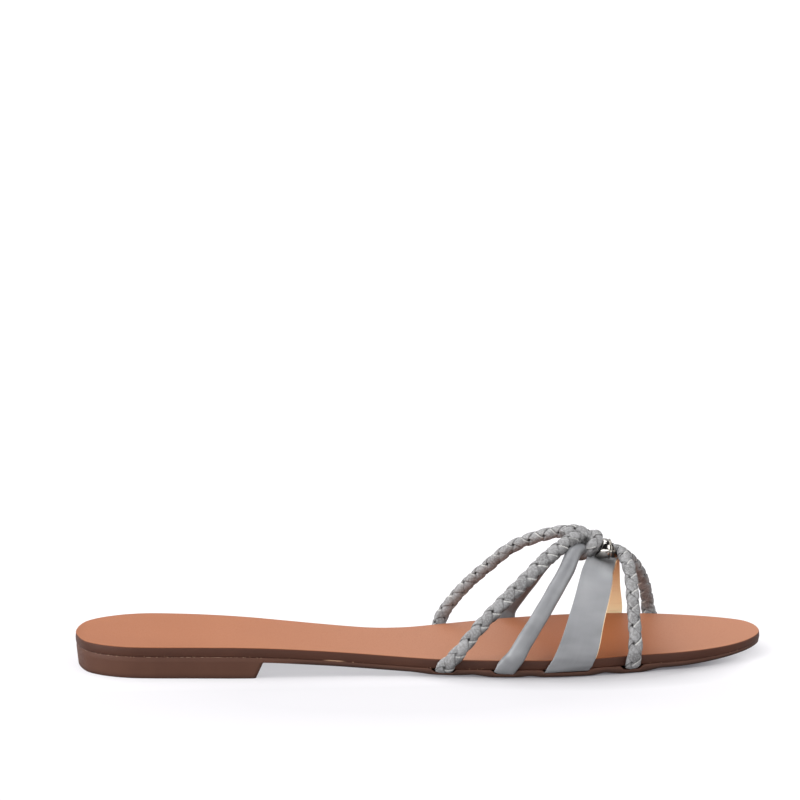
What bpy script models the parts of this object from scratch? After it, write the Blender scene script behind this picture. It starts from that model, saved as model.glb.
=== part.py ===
"""Flat slide sandal for the right foot: a thin leather sole on a low heel, and an upper of braided,
rolled and flat straps that meet in a knot held by a metal ring.

All sizes and tables are in millimetres. x runs from the back of the heel to the toe, y to the inner
side of the foot and z up from the floor. At the end everything is moved so that the origin lies on
the floor under the middle of the sandal.
"""

import bmesh
import bpy
import numpy as np

MM = 0.001
WELD = 0.001

# Driving sizes of the sole
SOLE_LENGTH = 250.0
HEEL_TOP = 11.5
FOREPART_TOP = 6.3
TOE_SPRING = 1.0
LAYER_GAP = 0.3
SOCK_THICK = 0.7
BOARD_THICK = 2.55
BOARD_THICK_TOE = 1.7
OUTSOLE_THICK = 1.5
OUTSOLE_THICK_TOE = 0.7
ARCH_START, ARCH_END = 53.0, 140.0
SPRING_START, SPRING_CURVE = 205.0, 1.6
TOE_THIN_START = 212.0
BREAST_TOP, BREAST_BOTTOM = 66.5, 64.0
SOCK_INSET = 0.15
OUTSOLE_INSET = 0.4
HEEL_INSET_TOP, HEEL_INSET_BOTTOM = 0.5, 1.0

# Where the forepart meets the floor, and how the outsole waves around the strap ends
TREAD_START, TREAD_FULL = 112.0, 129.0
TREAD_FADE, TREAD_END = 207.0, 236.0
WAVE_DEPTH = 1.0
WAVE_FALL = 4.5
WAVE_BULGE = 1.1
WAVE_MARGIN = 1.0
CURL_WIDTH = 7.0
CHANNEL_END = 9.5
CROWDED_WIDTH = 2.4 * CHANNEL_END

# Driving sizes of the straps
BRAID_RADIUS = 2.05
BRAID_PITCH = 6.4
BRAID_RELIEF = 0.3
ROLLED_RADIUS = 2.6
BAND_HALF_THICK = 0.8
TAIL_REACH = 6.4
TAIL_HALF_THICK = 0.36
ROLLED_WIDER, ROLLED_THINNER = 1.17, 0.92
ROLLED_FOOT_SHARE = 0.4
ARCH_AXIS_Y, ARCH_AXIS_Z = 1.0, 8.0

# How finely the curved pieces are cut into flat faces
SPAN_POINTS = 14
BRAID_SIDES = 8
BRAID_STEPS = 6
ROLLED_SIDES = 10
ROLLED_STEP, ROLLED_FOOT_STEP = 3.4, 1.3
BIGHT_STEP = 1.5
BAND_STEP, BAND_FOOT_STEP = 3.6, 1.4
FOOT_LENGTH = 15.0
RING_SIDES = 28
CORE_SIDES, CORE_LEVELS = 12, 8
HEEL_STATIONS = 15
SHARP_DEGREES = 40.0

# Stretches of the sole and the number of steps in each
HEEL_ROUND_END, WAIST_END, TOE_ROUND_START = 25.0, 117.0, 225.0
ROUND_STEPS, WAIST_STEPS, FOREPART_STEPS = 7, 12, 42

# Outline of the board from above: how far the outer and inner edges lie from the centre line
BOARD_OUTLINE = (
    # x, outer, inner
    (0.0, 0.0, 0.0),
    (3.0, 16.0, 15.7),
    (7.5, 22.0, 22.0),
    (12.5, 25.7, 25.7),
    (18.5, 28.4, 28.4),
    (26.0, 29.8, 29.6),
    (42.0, 31.2, 27.2),
    (60.0, 32.7, 21.7),
    (78.0, 32.7, 17.0),
    (94.0, 32.0, 15.0),
    (108.0, 32.3, 14.9),
    (120.0, 33.4, 18.6),
    (134.0, 35.2, 26.0),
    (150.0, 37.2, 32.0),
    (167.0, 38.6, 37.1),
    (181.0, 37.4, 39.9),
    (195.0, 33.6, 40.9),
    (206.0, 30.9, 40.5),
    (216.0, 28.8, 38.4),
    (226.0, 25.4, 34.6),
    (235.0, 20.4, 29.8),
    (242.0, 14.0, 24.8),
    (246.7, 7.0, 19.8),
    (249.2, 0.6, 13.6),
    (250.0, -6.5, 6.5),
)

# Where each strap end turns under the board, half the width of its tail, how far the outsole bulges
# towards the floor below it, and how far the strap leans to the toe for each millimetre of height
OUTER_FEET = {
    # strap: (x, half width, share of the bulge, lean)
    "rear": (130.0, 2.6, 0.35, 0.75),
    "rolled": (151.8, 3.4, 0.75, 0.6),
    "band": (173.6, 7.6, 0.7, 0.4),
    "front": (197.7, 2.6, 0.9, 0.1),
}
INNER_FEET = {
    "rear": (133.0, 2.6, 0.35, 0.5),
    "rolled": (159.6, 3.4, 0.75, 0.45),
    "band": (196.2, 7.8, 0.7, 0.0),
    "front": (214.4, 2.6, 0.9, 0.0),
}
FEET = {"outer": OUTER_FEET, "inner": INNER_FEET}

# Centre lines of the straps, from inside the knot down to just above the sole
REAR_OUTER_ROUTE = (
    # x, y, z
    (185.0, -1.2, 40.6),
    (182.5, -3.5, 42.8),
    (180.0, -5.5, 43.2),
    (177.0, -8.5, 42.4),
    (169.6, -15.5, 38.8),
    (161.3, -23.2, 32.8),
    (152.1, -29.3, 25.6),
    (143.5, -33.8, 18.1),
    (135.0, -37.3, 8.9),
)
REAR_INNER_ROUTE = (
    (186.0, -2.6, 40.6),
    (185.6, -2.4, 43.0),
    (183.2, 1.0, 44.8),
    (180.0, 5.0, 44.7),
    (171.4, 10.2, 42.4),
    (160.6, 16.0, 37.2),
    (151.6, 21.5, 28.8),
    (143.7, 25.8, 20.6),
    (137.6, 28.6, 12.6),
    (135.2, 29.5, 8.4),
)
ROLLED_OUTER_ROUTE = (
    (184.6, -3.2, 40.2),
    (180.7, -9.5, 40.4),
    (175.7, -20.0, 35.0),
    (169.9, -28.4, 28.1),
    (163.9, -34.8, 20.9),
    (158.8, -38.8, 13.2),
    (155.7, -40.5, 8.4),
)
ROLLED_INNER_ROUTE = (
    (184.6, 3.2, 40.2),
    (180.5, 9.5, 38.5),
    (176.2, 16.0, 35.0),
    (172.9, 22.5, 30.1),
    (168.6, 30.2, 22.5),
    (164.5, 35.6, 15.2),
    (161.2, 38.4, 8.8),
)
BIGHT_ROUTE = (
    (183.6, -4.8, 38.2),
    (185.6, -6.0, 39.2),
    (187.2, -4.6, 42.0),
    (188.0, -1.0, 43.5),
    (187.6, 3.0, 43.0),
    (186.2, 5.4, 40.6),
    (184.4, 4.6, 38.8),
)
FRONT_OUTER_ROUTE = (
    (184.5, -1.9, 39.8),
    (189.5, -1.8, 39.3),
    (193.4, -1.7, 38.9),
    (196.7, -2.3, 38.3),
    (198.2, -7.2, 37.3),
    (198.7, -12.5, 35.8),
    (199.1, -18.0, 32.8),
    (198.8, -27.8, 23.0),
    (198.9, -33.8, 11.4),
    (198.6, -35.0, 7.9),
)
FRONT_INNER_ROUTE = (
    (184.5, 1.9, 39.8),
    (189.5, 1.8, 39.3),
    (193.4, 1.7, 38.9),
    (196.5, 2.3, 38.1),
    (198.7, 7.0, 36.2),
    (200.8, 12.0, 34.1),
    (203.9, 18.0, 31.1),
    (207.7, 25.5, 26.2),
    (211.3, 33.5, 19.2),
    (213.7, 40.0, 11.2),
    (214.2, 41.6, 7.9),
)
# The flat band runs over the foot from one side to the other
BAND_ROUTE = (
    # x, y, z
    (175.9, -39.8, 7.6),
    (177.7, -38.7, 11.8),
    (180.8, -33.4, 20.2),
    (182.8, -28.4, 25.0),
    (185.2, -21.8, 29.4),
    (187.5, -14.0, 33.0),
    (189.6, -6.0, 34.3),
    (191.0, 1.0, 34.4),
    (192.6, 9.0, 33.9),
    (193.8, 18.0, 31.8),
    (194.8, 28.4, 26.6),
    (195.6, 37.8, 17.2),
    (196.2, 42.3, 8.4),
)

# Half the width of the flat band along the sole, at fractions of its length, tail to tail
BAND_WIDTHS = (
    # fraction, half width
    (0.00, 7.2),
    (0.05, 7.8),
    (0.09, 7.6),
    (0.13, 7.2),
    (0.20, 6.4),
    (0.34, 5.9),
    (0.46, 5.0),
    (0.56, 5.0),
    (0.70, 6.0),
    (0.82, 6.9),
    (0.93, 7.9),
    (1.00, 7.6),
)

# A cord is pressed flat towards its tail: share of its round radius at distances from the tail's end
FOOT_FLATTENING = (
    # distance, thickness share, width share
    (0.0, 0.17, 1.25),
    (5.6, 0.17, 1.25),
    (7.2, 0.23, 1.25),
    (8.4, 0.46, 1.22),
    (10.0, 0.66, 1.18),
    (16.0, 1.00, 1.00),
)

# Way of every strap end around the edge of the board: distance inside the edge, height above the
# underside of the board, and how far its outer face has turned down
FOOT_WAY = (
    # inside, height, turn
    (-1.75, 1.90, 0.00),
    (-1.50, 0.30, 0.25),
    (-0.62, -0.60, 0.75),
    (1.00, -0.65, 1.00),
    (TAIL_REACH, -0.65, 1.00),
)

# Section of the flat band, in shares of its half width and half thickness
BAND_SECTION = (
    # across, outwards
    (-0.94, 1.00),
    (0.00, 1.12),
    (0.94, 1.00),
    (1.00, 0.00),
    (0.94, -1.00),
    (0.00, -0.92),
    (-0.94, -1.00),
    (-1.00, 0.00),
)
# Distances from the end of a tail between which the band grows to its full thickness
BAND_THICKENS = (6.8, 10.5)

# Heights of one leaf of the plait, in shares of the relief, over one repeat
LEAF_HEIGHTS = (0.5, 1.0, 0.8, -0.2, -1.0, -0.4)

# The outer rear braid is spread wide where it lies over the instep: share of its round width
INSTEP_SPREAD = (
    # distance from the knot, share
    (2.0, 1.00),
    (9.0, 1.26),
    (34.0, 1.22),
    (46.0, 1.04),
)

# The front braids are squeezed where they pass through the ring: share of their radius
RING_SQUEEZE = (
    # distance from the knot, share
    (13.5, 0.84),
    (20.0, 1.00),
)

# The ring seen in section: distance along it, height of its face above the bore, and how much
# further back the same row lies at the bottom of the ring. The first and last rows are the bore.
RING_CENTRE = (193.2, 0.0, 39.0)
RING_BORE_Y, RING_BORE_Z = 5.0, 2.35
RING_DROP = 0.15
RING_PROFILE = (
    # along, height, back at the bottom
    (-2.60, 0.00, 0.90),
    (-2.60, 0.30, 0.90),
    (-2.25, 0.60, 0.90),
    (-1.50, 0.84, 0.60),
    (-0.60, 0.86, 0.30),
    (0.20, 0.66, 0.00),
    (0.60, 0.40, 0.00),
    (0.75, 0.95, 0.00),
    (1.35, 0.95, 0.00),
    (1.50, 0.40, 0.00),
    (1.80, 0.58, 0.00),
    (2.10, 0.54, 0.00),
    (2.30, 0.28, 0.00),
    (2.30, 0.00, 0.00),
)

KNOT_CORE_CENTRE = (186.2, 0.0, 38.9)
KNOT_CORE_RADII = (3.8, 5.0, 4.4)


def clear_scene():
    for old in list(bpy.data.objects):
        bpy.data.objects.remove(old)


def smoothstep(value):
    held = np.clip(value, 0.0, 1.0)
    return held * held * (3.0 - 2.0 * held)


def unit(vectors):
    return vectors / np.linalg.norm(vectors, axis=-1, keepdims=True)


def curve_through(rows, closed=False):
    """Dense points on the centripetal Catmull-Rom curve through the rows."""
    rows = np.asarray(rows, float)
    if closed:
        rows = np.vstack((rows[-1:], rows, rows[:2]))
    else:
        rows = np.vstack((2 * rows[0] - rows[1], rows, 2 * rows[-1] - rows[-2]))
    spans = []
    for p0, p1, p2, p3 in zip(rows, rows[1:], rows[2:], rows[3:]):
        t1 = np.linalg.norm(p1[:3] - p0[:3]) ** 0.5
        t2 = t1 + np.linalg.norm(p2[:3] - p1[:3]) ** 0.5
        t3 = t2 + np.linalg.norm(p3[:3] - p2[:3]) ** 0.5
        t = np.linspace(t1, t2, SPAN_POINTS, endpoint=False)[:, None]
        a1 = (p0 * (t1 - t) + p1 * t) / t1
        a2 = (p1 * (t2 - t) + p2 * (t - t1)) / (t2 - t1)
        a3 = (p2 * (t3 - t) + p3 * (t - t2)) / (t3 - t2)
        b1 = (a1 * (t2 - t) + a2 * t) / t2
        b2 = (a2 * (t3 - t) + a3 * (t - t1)) / (t3 - t1)
        spans.append((b1 * (t2 - t) + b2 * (t - t1)) / (t2 - t1))
    if not closed:
        spans.append(rows[-2:-1])
    return np.vstack(spans)


def board_sides():
    """The two long edges of the board as arrays of x, y and the inward normal, heel to toe."""
    table = np.array(BOARD_OUTLINE)
    outer = np.column_stack((table[:, 0], -table[:, 1]))
    inner = np.column_stack((table[:, 0], table[:, 2]))
    loop = curve_through(np.vstack((outer, inner[-2:0:-1])), closed=True)
    along = unit(np.roll(loop, -1, axis=0) - np.roll(loop, 1, axis=0))
    inward = np.column_stack((-along[:, 1], along[:, 0]))
    edge = np.column_stack((loop, inward))
    toe = (len(table) - 1) * SPAN_POINTS
    return {"outer": edge[: toe + 1], "inner": np.vstack((edge[toe:], edge[:1]))[::-1]}


SIDES = board_sides()


def edge_at(x, side, inset=0.0):
    """Points on one edge of the board at stations x, moved inwards by the inset."""
    rows = SIDES[side]
    known = np.maximum.accumulate(rows[:, 0])
    y, normal_x, normal_y = (np.interp(x, known, rows[:, k]) for k in (1, 2, 3))
    return np.stack((x + inset * normal_x, y + inset * normal_y), axis=-1)


def stations():
    """Places along the sole: close together around heel, toe and the strap ends."""
    quarter = np.linspace(0.0, np.pi / 2, ROUND_STEPS + 1)
    heel = HEEL_ROUND_END * (1.0 - np.cos(quarter))
    waist = np.linspace(HEEL_ROUND_END, WAIST_END, WAIST_STEPS + 1)
    forepart = np.linspace(WAIST_END, TOE_ROUND_START, FOREPART_STEPS + 1)
    toe = TOE_ROUND_START + (SOLE_LENGTH - TOE_ROUND_START) * np.sin(quarter)
    return np.concatenate((heel, waist[1:], forepart[1:], toe[1:]))


def sock_top(x):
    """Height of the upper face of the insole."""
    fall = smoothstep((x - ARCH_START) / (ARCH_END - ARCH_START))
    rise = np.clip((x - SPRING_START) / (SOLE_LENGTH - SPRING_START), 0.0, 1.0) ** SPRING_CURVE
    return HEEL_TOP + (FOREPART_TOP - HEEL_TOP) * fall + TOE_SPRING * rise


def thinned(x, full, at_toe):
    share = smoothstep((x - TOE_THIN_START) / (SOLE_LENGTH - TOE_THIN_START))
    return full + (at_toe - full) * share


def board_top(x):
    return sock_top(x) - SOCK_THICK - LAYER_GAP


def board_bottom(x):
    return board_top(x) - thinned(x, BOARD_THICK, BOARD_THICK_TOE)


def wave(x, side, weighted):
    """Rises where a strap end passes under the board: to 1, or to the share of its bulge."""
    height = np.zeros_like(x)
    for centre, half_width, share, _ in FEET[side].values():
        beyond = np.abs(x - centre) - half_width - WAVE_MARGIN
        bump = smoothstep(1.0 - beyond / WAVE_FALL)
        height = np.maximum(height, bump * (share if weighted else 1.0))
    return height


def tread(x):
    """1 where the forepart of the outsole lies on the floor, 0 where it is lifted."""
    begins = smoothstep((x - TREAD_START) / (TREAD_FULL - TREAD_START))
    ends = smoothstep((x - TREAD_FADE) / (TREAD_END - TREAD_FADE))
    return begins * (1.0 - ends)


def outsole_lift(x):
    """Height of the underside of the outsole where it is one even sheet under the board."""
    return board_bottom(x) - LAYER_GAP - thinned(x, OUTSOLE_THICK, OUTSOLE_THICK_TOE)


def new_object(name, bm, material, parent):
    bmesh.ops.recalc_face_normals(bm, faces=bm.faces)
    mesh = bpy.data.meshes.new(name)
    bm.to_mesh(mesh)
    bm.free()
    mesh.materials.append(material)
    mesh.shade_smooth()
    mesh.set_sharp_from_angle(angle=np.radians(SHARP_DEGREES))
    made = bpy.data.objects.new(name, mesh)
    bpy.context.scene.collection.objects.link(made)
    made.parent = parent
    return made


def sheet_solid(name, top, bottom, material, parent):
    """A closed sheet between two grids of points, stations by columns."""
    bm = bmesh.new()
    upper = [[bm.verts.new(p * MM) for p in row] for row in top]
    lower = [[bm.verts.new(p * MM) for p in row] for row in bottom]
    rows, columns = len(upper), len(upper[0])
    for i in range(rows - 1):
        for j in range(columns - 1):
            bm.faces.new((upper[i][j], upper[i + 1][j], upper[i + 1][j + 1], upper[i][j + 1]))
            bm.faces.new((lower[i][j], lower[i][j + 1], lower[i + 1][j + 1], lower[i + 1][j]))
        bm.faces.new((upper[i][0], lower[i][0], lower[i + 1][0], upper[i + 1][0]))
        bm.faces.new((upper[i][-1], upper[i + 1][-1], lower[i + 1][-1], lower[i][-1]))
    for j in range(columns - 1):
        bm.faces.new((upper[-1][j], lower[-1][j], lower[-1][j + 1], upper[-1][j + 1]))
        bm.faces.new((upper[0][j], upper[0][j + 1], lower[0][j + 1], lower[0][j]))
    bmesh.ops.remove_doubles(bm, verts=bm.verts, dist=WELD * MM)
    return new_object(name, bm, material, parent)


def plain_layer(name, x, inset, top, bottom, material, parent):
    """A sole layer that is level from side to side."""
    plan = np.stack([edge_at(x, side, inset) for side in ("outer", "inner")], axis=1)
    above = np.dstack((plan, np.repeat(top(x)[:, None], 2, axis=1)))
    below = np.dstack((plan, np.repeat(bottom(x)[:, None], 2, axis=1)))
    return sheet_solid(name, above, below, material, parent)


def make_outsole(x, material, parent):
    """Thin sheet that lies flat under the forepart, curls up at its edge between the strap ends,
    bulges down and out around them, and has a shallow channel over each for its tail."""
    columns = ((0.0, "outer"), (CURL_WIDTH, "outer"), (CHANNEL_END, "outer"))
    columns = columns + tuple((d, "inner") for d, _ in columns[::-1])
    full_chord = np.linalg.norm(edge_at(x, "inner") - edge_at(x, "outer"), axis=1)
    narrow = np.minimum(1.0, full_chord / CROWDED_WIDTH)
    top_columns, bottom_columns = [], []
    for depth, side in columns:
        at_edge = depth == 0.0
        channel = wave(x, side, weighted=False) if depth <= CURL_WIDTH else 0.0
        bulge = wave(x, side, weighted=True) * tread(x)
        inset = OUTSOLE_INSET - (WAVE_BULGE * bulge if at_edge else 0.0)
        plan = edge_at(x, side, inset)
        across = edge_at(x, "inner" if side == "outer" else "outer", OUTSOLE_INSET) - plan
        reach = np.linalg.norm(across, axis=1, keepdims=True)
        plan = plan + across / np.maximum(reach, WELD) * (depth * narrow)[:, None]
        above = board_bottom(x) - LAYER_GAP - WAVE_DEPTH * channel
        below = outsole_lift(x) * (1.0 - (bulge if at_edge else tread(x)))
        top_columns.append(np.column_stack((plan, above)))
        bottom_columns.append(np.column_stack((plan, below)))
    return sheet_solid(
        "outsole", np.stack(top_columns, axis=1), np.stack(bottom_columns, axis=1), material, parent
    )


def make_heel(material, parent):
    """Low block under the back of the outsole, drawn in a little towards the floor."""
    share = 1.0 - np.cos(np.linspace(0.0, np.pi / 2, HEEL_STATIONS))
    top_x, bottom_x = share * BREAST_TOP, share * BREAST_BOTTOM
    grids = []
    for x, inset in ((top_x, HEEL_INSET_TOP), (bottom_x, HEEL_INSET_BOTTOM)):
        plan = np.stack([edge_at(x, side, inset) for side in ("outer", "inner")], axis=1)
        height = outsole_lift(top_x) - LAYER_GAP if x is top_x else np.zeros_like(x)
        grids.append(np.dstack((plan, np.repeat(height[:, None], 2, axis=1))))
    return sheet_solid("heel", grids[0], grids[1], material, parent)


def outward(points):
    """Direction from the middle of the foot tunnel to each point, across the sandal."""
    points = np.asarray(points, float)
    away = np.zeros_like(points)
    away[:, 1] = points[:, 1] - ARCH_AXIS_Y
    away[:, 2] = points[:, 2] - ARCH_AXIS_Z
    return unit(away)


def foot_rows(side, strap):
    """Way of a strap end down the edge of the board and inwards below it: point and outer face."""
    x, _, _, lean = FEET[side][strap]
    seat = float(board_bottom(np.array([x]))[0])
    tail_height = FOOT_WAY[-1][1]
    down = np.array([0.0, 0.0, -1.0])
    rows = []
    for inside, height, turn in FOOT_WAY:
        at = np.array([x + lean * (height - tail_height)])
        edge = np.append(edge_at(at, side)[0], seat + height)
        inward = np.append(edge_at(at, side, 1.0)[0], seat + height) - edge
        rows.append(np.concatenate((edge + inward * inside, unit(-inward * (1.0 - turn) + down * turn))))
    return np.array(rows)


def strap_rows(route, side, strap):
    route = np.array(route)
    return np.vstack((np.hstack((route, outward(route))), foot_rows(side, strap)))


def frames_along(rows, step, foot_step, feet=1):
    """Points, outer direction and sideways direction at even steps along a route, with closer steps
    in the stretch that bends around the board, at one or both ends."""
    dense = curve_through(rows)
    length = np.concatenate(([0.0], np.cumsum(np.linalg.norm(np.diff(dense[:, :3], axis=0), axis=1))))
    places = [0.0]
    while places[-1] < length[-1]:
        from_foot = length[-1] - places[-1]
        if feet == 2:
            from_foot = min(from_foot, places[-1])
        places.append(places[-1] + (foot_step if from_foot < FOOT_LENGTH else step))
    places = np.array(places) * length[-1] / places[-1]
    at = np.column_stack([np.interp(places, length, dense[:, k]) for k in range(6)])
    tangent = unit(np.gradient(at[:, :3], axis=0))
    normal = at[:, 3:] - tangent * np.sum(at[:, 3:] * tangent, axis=1, keepdims=True)
    normal = unit(normal)
    return places, at[:, :3], normal, np.cross(tangent, normal)


def rings_around(points, normal, across, half_thick, half_wide):
    """Rings of points around a centre line, from their offsets outwards and sideways."""
    outwards = half_thick[..., None] * normal[:, None]
    sideways = half_wide[..., None] * across[:, None]
    return points[:, None] + outwards + sideways


def loft(name, rings, material, parent):
    """A closed tube through rings of points, with flat ends."""
    bm = bmesh.new()
    loops = [[bm.verts.new(p * MM) for p in ring] for ring in rings]
    for first, second in zip(loops, loops[1:]):
        for k in range(len(first)):
            bm.faces.new((first[k - 1], first[k], second[k], second[k - 1]))
    bm.faces.new(loops[0][::-1])
    bm.faces.new(loops[-1])
    return new_object(name, bm, material, parent)


def flattening(places):
    from_tail = places[-1] - places
    distance, thick, wide = np.array(FOOT_FLATTENING).T
    return np.interp(from_tail, distance, thick), np.interp(from_tail, distance, wide)


def shares_along(places, table):
    distance, share = np.array(table).T
    return np.interp(places, distance, share)


def braid_height(ring_count):
    """Raised leaves of a round plait: columns around it, each half a repeat behind the last."""
    leaf = np.array(LEAF_HEIGHTS)
    heights = np.zeros((ring_count, BRAID_SIDES))
    rings = np.arange(ring_count)
    for column in range(BRAID_SIDES // 2):
        behind = (column % 2) * BRAID_STEPS // 2
        heights[:, 2 * column] = leaf[(rings + behind) % BRAID_STEPS]
    return heights


def make_braid(name, route, side, strap, material, parent, spread=None, squeezed=None):
    step = BRAID_PITCH / BRAID_STEPS
    places, points, normal, across = frames_along(strap_rows(route, side, strap), step, step)
    thick, wide = flattening(places)
    relief = BRAID_RELIEF * thick**2 / BRAID_RADIUS
    radius = BRAID_RADIUS * (1.0 + relief[:, None] * braid_height(len(places)))
    if squeezed is not None:
        radius = radius * shares_along(places, squeezed)[:, None]
    if spread is not None:
        wide = wide * shares_along(places, spread)
    angle = np.linspace(0.0, 2 * np.pi, BRAID_SIDES, endpoint=False)
    half_thick = radius * thick[:, None] * np.cos(angle)
    half_wide = radius * wide[:, None] * np.sin(angle)
    return loft(name, rings_around(points, normal, across, half_thick, half_wide), material, parent)


def make_rolled(name, route, side, material, parent):
    rows = strap_rows(route, side, "rolled")
    places, points, normal, across = frames_along(rows, ROLLED_STEP, ROLLED_FOOT_STEP)
    thick, wide = flattening(places)
    thick = np.maximum(thick * ROLLED_THINNER, TAIL_HALF_THICK / ROLLED_RADIUS)
    wide = 1.0 + (wide - 1.0) * ROLLED_FOOT_SHARE
    angle = np.linspace(0.0, 2 * np.pi, ROLLED_SIDES, endpoint=False)
    half_thick = ROLLED_RADIUS * thick[:, None] * np.cos(angle)
    half_wide = ROLLED_RADIUS * ROLLED_WIDER * wide[:, None] * np.sin(angle)
    return loft(name, rings_around(points, normal, across, half_thick, half_wide), material, parent)


def make_bight(material, parent):
    """Turn of the rolled cord around the other cords, on the toe side of the knot."""
    route = np.array(BIGHT_ROUTE)
    rows = np.hstack((route, outward(route)))
    places, points, normal, across = frames_along(rows, BIGHT_STEP, BIGHT_STEP)
    angle = np.linspace(0.0, 2 * np.pi, ROLLED_SIDES, endpoint=False)
    half_thick = np.full((len(places), 1), ROLLED_RADIUS) * np.cos(angle)
    half_wide = np.full((len(places), 1), ROLLED_RADIUS) * np.sin(angle)
    return loft("bight", rings_around(points, normal, across, half_thick, half_wide), material, parent)


def make_band(material, parent):
    """Flat lined strap, wider and thinner at its two tails, with rounded long edges."""
    route = np.array(BAND_ROUTE)
    outer_foot = foot_rows("outer", "band")
    inner_foot = foot_rows("inner", "band")
    rows = np.vstack((outer_foot[::-1], np.hstack((route, outward(route))), inner_foot))
    places, points, normal, _ = frames_along(rows, BAND_STEP, BAND_FOOT_STEP, feet=2)
    lengthways = np.array([1.0, 0.0, 0.0])
    across = unit(lengthways - normal * (normal @ lengthways)[:, None])
    fraction, half_width = np.array(BAND_WIDTHS).T
    width = np.interp(places / places[-1], fraction, half_width)
    from_tail = np.minimum(places, places[-1] - places)
    thick = np.interp(from_tail, BAND_THICKENS, (TAIL_HALF_THICK, BAND_HALF_THICK))
    sideways, outwards = np.array(BAND_SECTION).T
    rings = rings_around(points, normal, across, thick[:, None] * outwards, width[:, None] * sideways)
    return loft("upper", rings, material, parent)


def make_core(material, parent):
    """Heart of the knot, where all the cords are fused."""
    bm = bmesh.new()
    bmesh.ops.create_uvsphere(bm, u_segments=CORE_SIDES, v_segments=CORE_LEVELS, radius=1.0)
    for vertex in bm.verts:
        place = np.array(KNOT_CORE_CENTRE) + np.array(KNOT_CORE_RADII) * np.array(vertex.co)
        vertex.co = place * MM
    return new_object("core", bm, material, parent)


def make_ring(material, parent):
    """Metal collar with an oval bore: a bulged barrel, a flange and a small bead."""
    turn = np.linspace(0.0, 2 * np.pi, RING_SIDES, endpoint=False)
    below = (1.0 - np.sin(turn)) / 2
    bm = bmesh.new()
    loops = []
    for along, height, back in RING_PROFILE:
        x = along - back * below
        y = (RING_BORE_Y + height) * np.cos(turn)
        z = (RING_BORE_Z + height) * np.sin(turn) - RING_DROP * along
        ring = np.column_stack((x, y, z)) + np.array(RING_CENTRE)
        loops.append([bm.verts.new(p * MM) for p in ring])
    for first, second in zip(loops, loops[1:] + loops[:1]):
        for k in range(len(turn)):
            bm.faces.new((first[k - 1], first[k], second[k], second[k - 1]))
    return new_object("ring", bm, material, parent)


def join(target, pieces):
    for piece in pieces:
        union = target.modifiers.new("join_" + piece.name, "BOOLEAN")
        union.operation = "UNION"
        union.solver = "EXACT"
        union.use_self = True
        union.object = piece
        piece.hide_render = True
        piece.display_type = "WIRE"


def finish(name, colour, roughness, metallic=0.0):
    """A material from a colour in 8-bit screen values."""
    made = bpy.data.materials.new(name)
    made.use_nodes = True
    shader = made.node_tree.nodes["Principled BSDF"]
    screen = np.array(colour) / 255.0
    linear = np.where(screen <= 0.04045, screen / 12.92, ((screen + 0.055) / 1.055) ** 2.4)
    shader.inputs["Base Color"].default_value = (*linear, 1.0)
    shader.inputs["Roughness"].default_value = roughness
    shader.inputs["Metallic"].default_value = metallic
    return made


def centre_on_floor(parent, pieces):
    """Moves the parent so that the origin is on the floor under the middle of all the pieces."""
    corners = np.vstack([[tuple(vertex.co) for vertex in piece.data.vertices] for piece in pieces])
    low, high = corners.min(axis=0), corners.max(axis=0)
    parent.location = (-(low[0] + high[0]) / 2, -(low[1] + high[1]) / 2, -low[2])


def main():
    clear_scene()
    sandal = bpy.data.objects.new("sandal", None)
    bpy.context.scene.collection.objects.link(sandal)

    tan = finish("tan_leather", (202, 142, 113), 0.5)
    board = finish("brown_edge_paint", (80, 52, 44), 0.45)
    brown = finish("brown_sole_leather", (93, 65, 54), 0.5)
    grey = finish("grey_leather", (156, 157, 160), 0.42)
    metal = finish("polished_nickel", (205, 203, 198), 0.12, metallic=1.0)

    x = stations()
    sock = plain_layer(
        "insole", x, SOCK_INSET, sock_top, lambda at: sock_top(at) - SOCK_THICK, tan, sandal
    )
    midsole = plain_layer("midsole", x, 0.0, board_top, board_bottom, board, sandal)
    outsole = make_outsole(x, brown, sandal)
    heel = make_heel(brown, sandal)

    upper = make_band(grey, sandal)
    cords = [
        make_core(grey, sandal),
        make_rolled("rolled_outer", ROLLED_OUTER_ROUTE, "outer", grey, sandal),
        make_rolled("rolled_inner", ROLLED_INNER_ROUTE, "inner", grey, sandal),
        make_bight(grey, sandal),
        make_braid("rear_outer", REAR_OUTER_ROUTE, "outer", "rear", grey, sandal, spread=INSTEP_SPREAD),
        make_braid("rear_inner", REAR_INNER_ROUTE, "inner", "rear", grey, sandal),
        make_braid("front_outer", FRONT_OUTER_ROUTE, "outer", "front", grey, sandal, squeezed=RING_SQUEEZE),
        make_braid("front_inner", FRONT_INNER_ROUTE, "inner", "front", grey, sandal, squeezed=RING_SQUEEZE),
    ]
    join(upper, cords)
    ring = make_ring(metal, sandal)
    centre_on_floor(sandal, [sock, midsole, outsole, heel, upper, ring] + cords)


main()
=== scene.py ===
# %% [markdown]
# # A strappy slide sandal, dressed piece by piece
#
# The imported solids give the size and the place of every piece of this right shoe. The lesson puts a
# finished piece over each of them: a tan sock, a painted board, a thin outsole, a heel block,
# braided, rolled and flat straps, and a metal ring. Straps and soles are easy to say as formulas
# and slow to push about by hand, so each shape is a function of two parameters, worked out with
# numpy as whole arrays.

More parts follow.
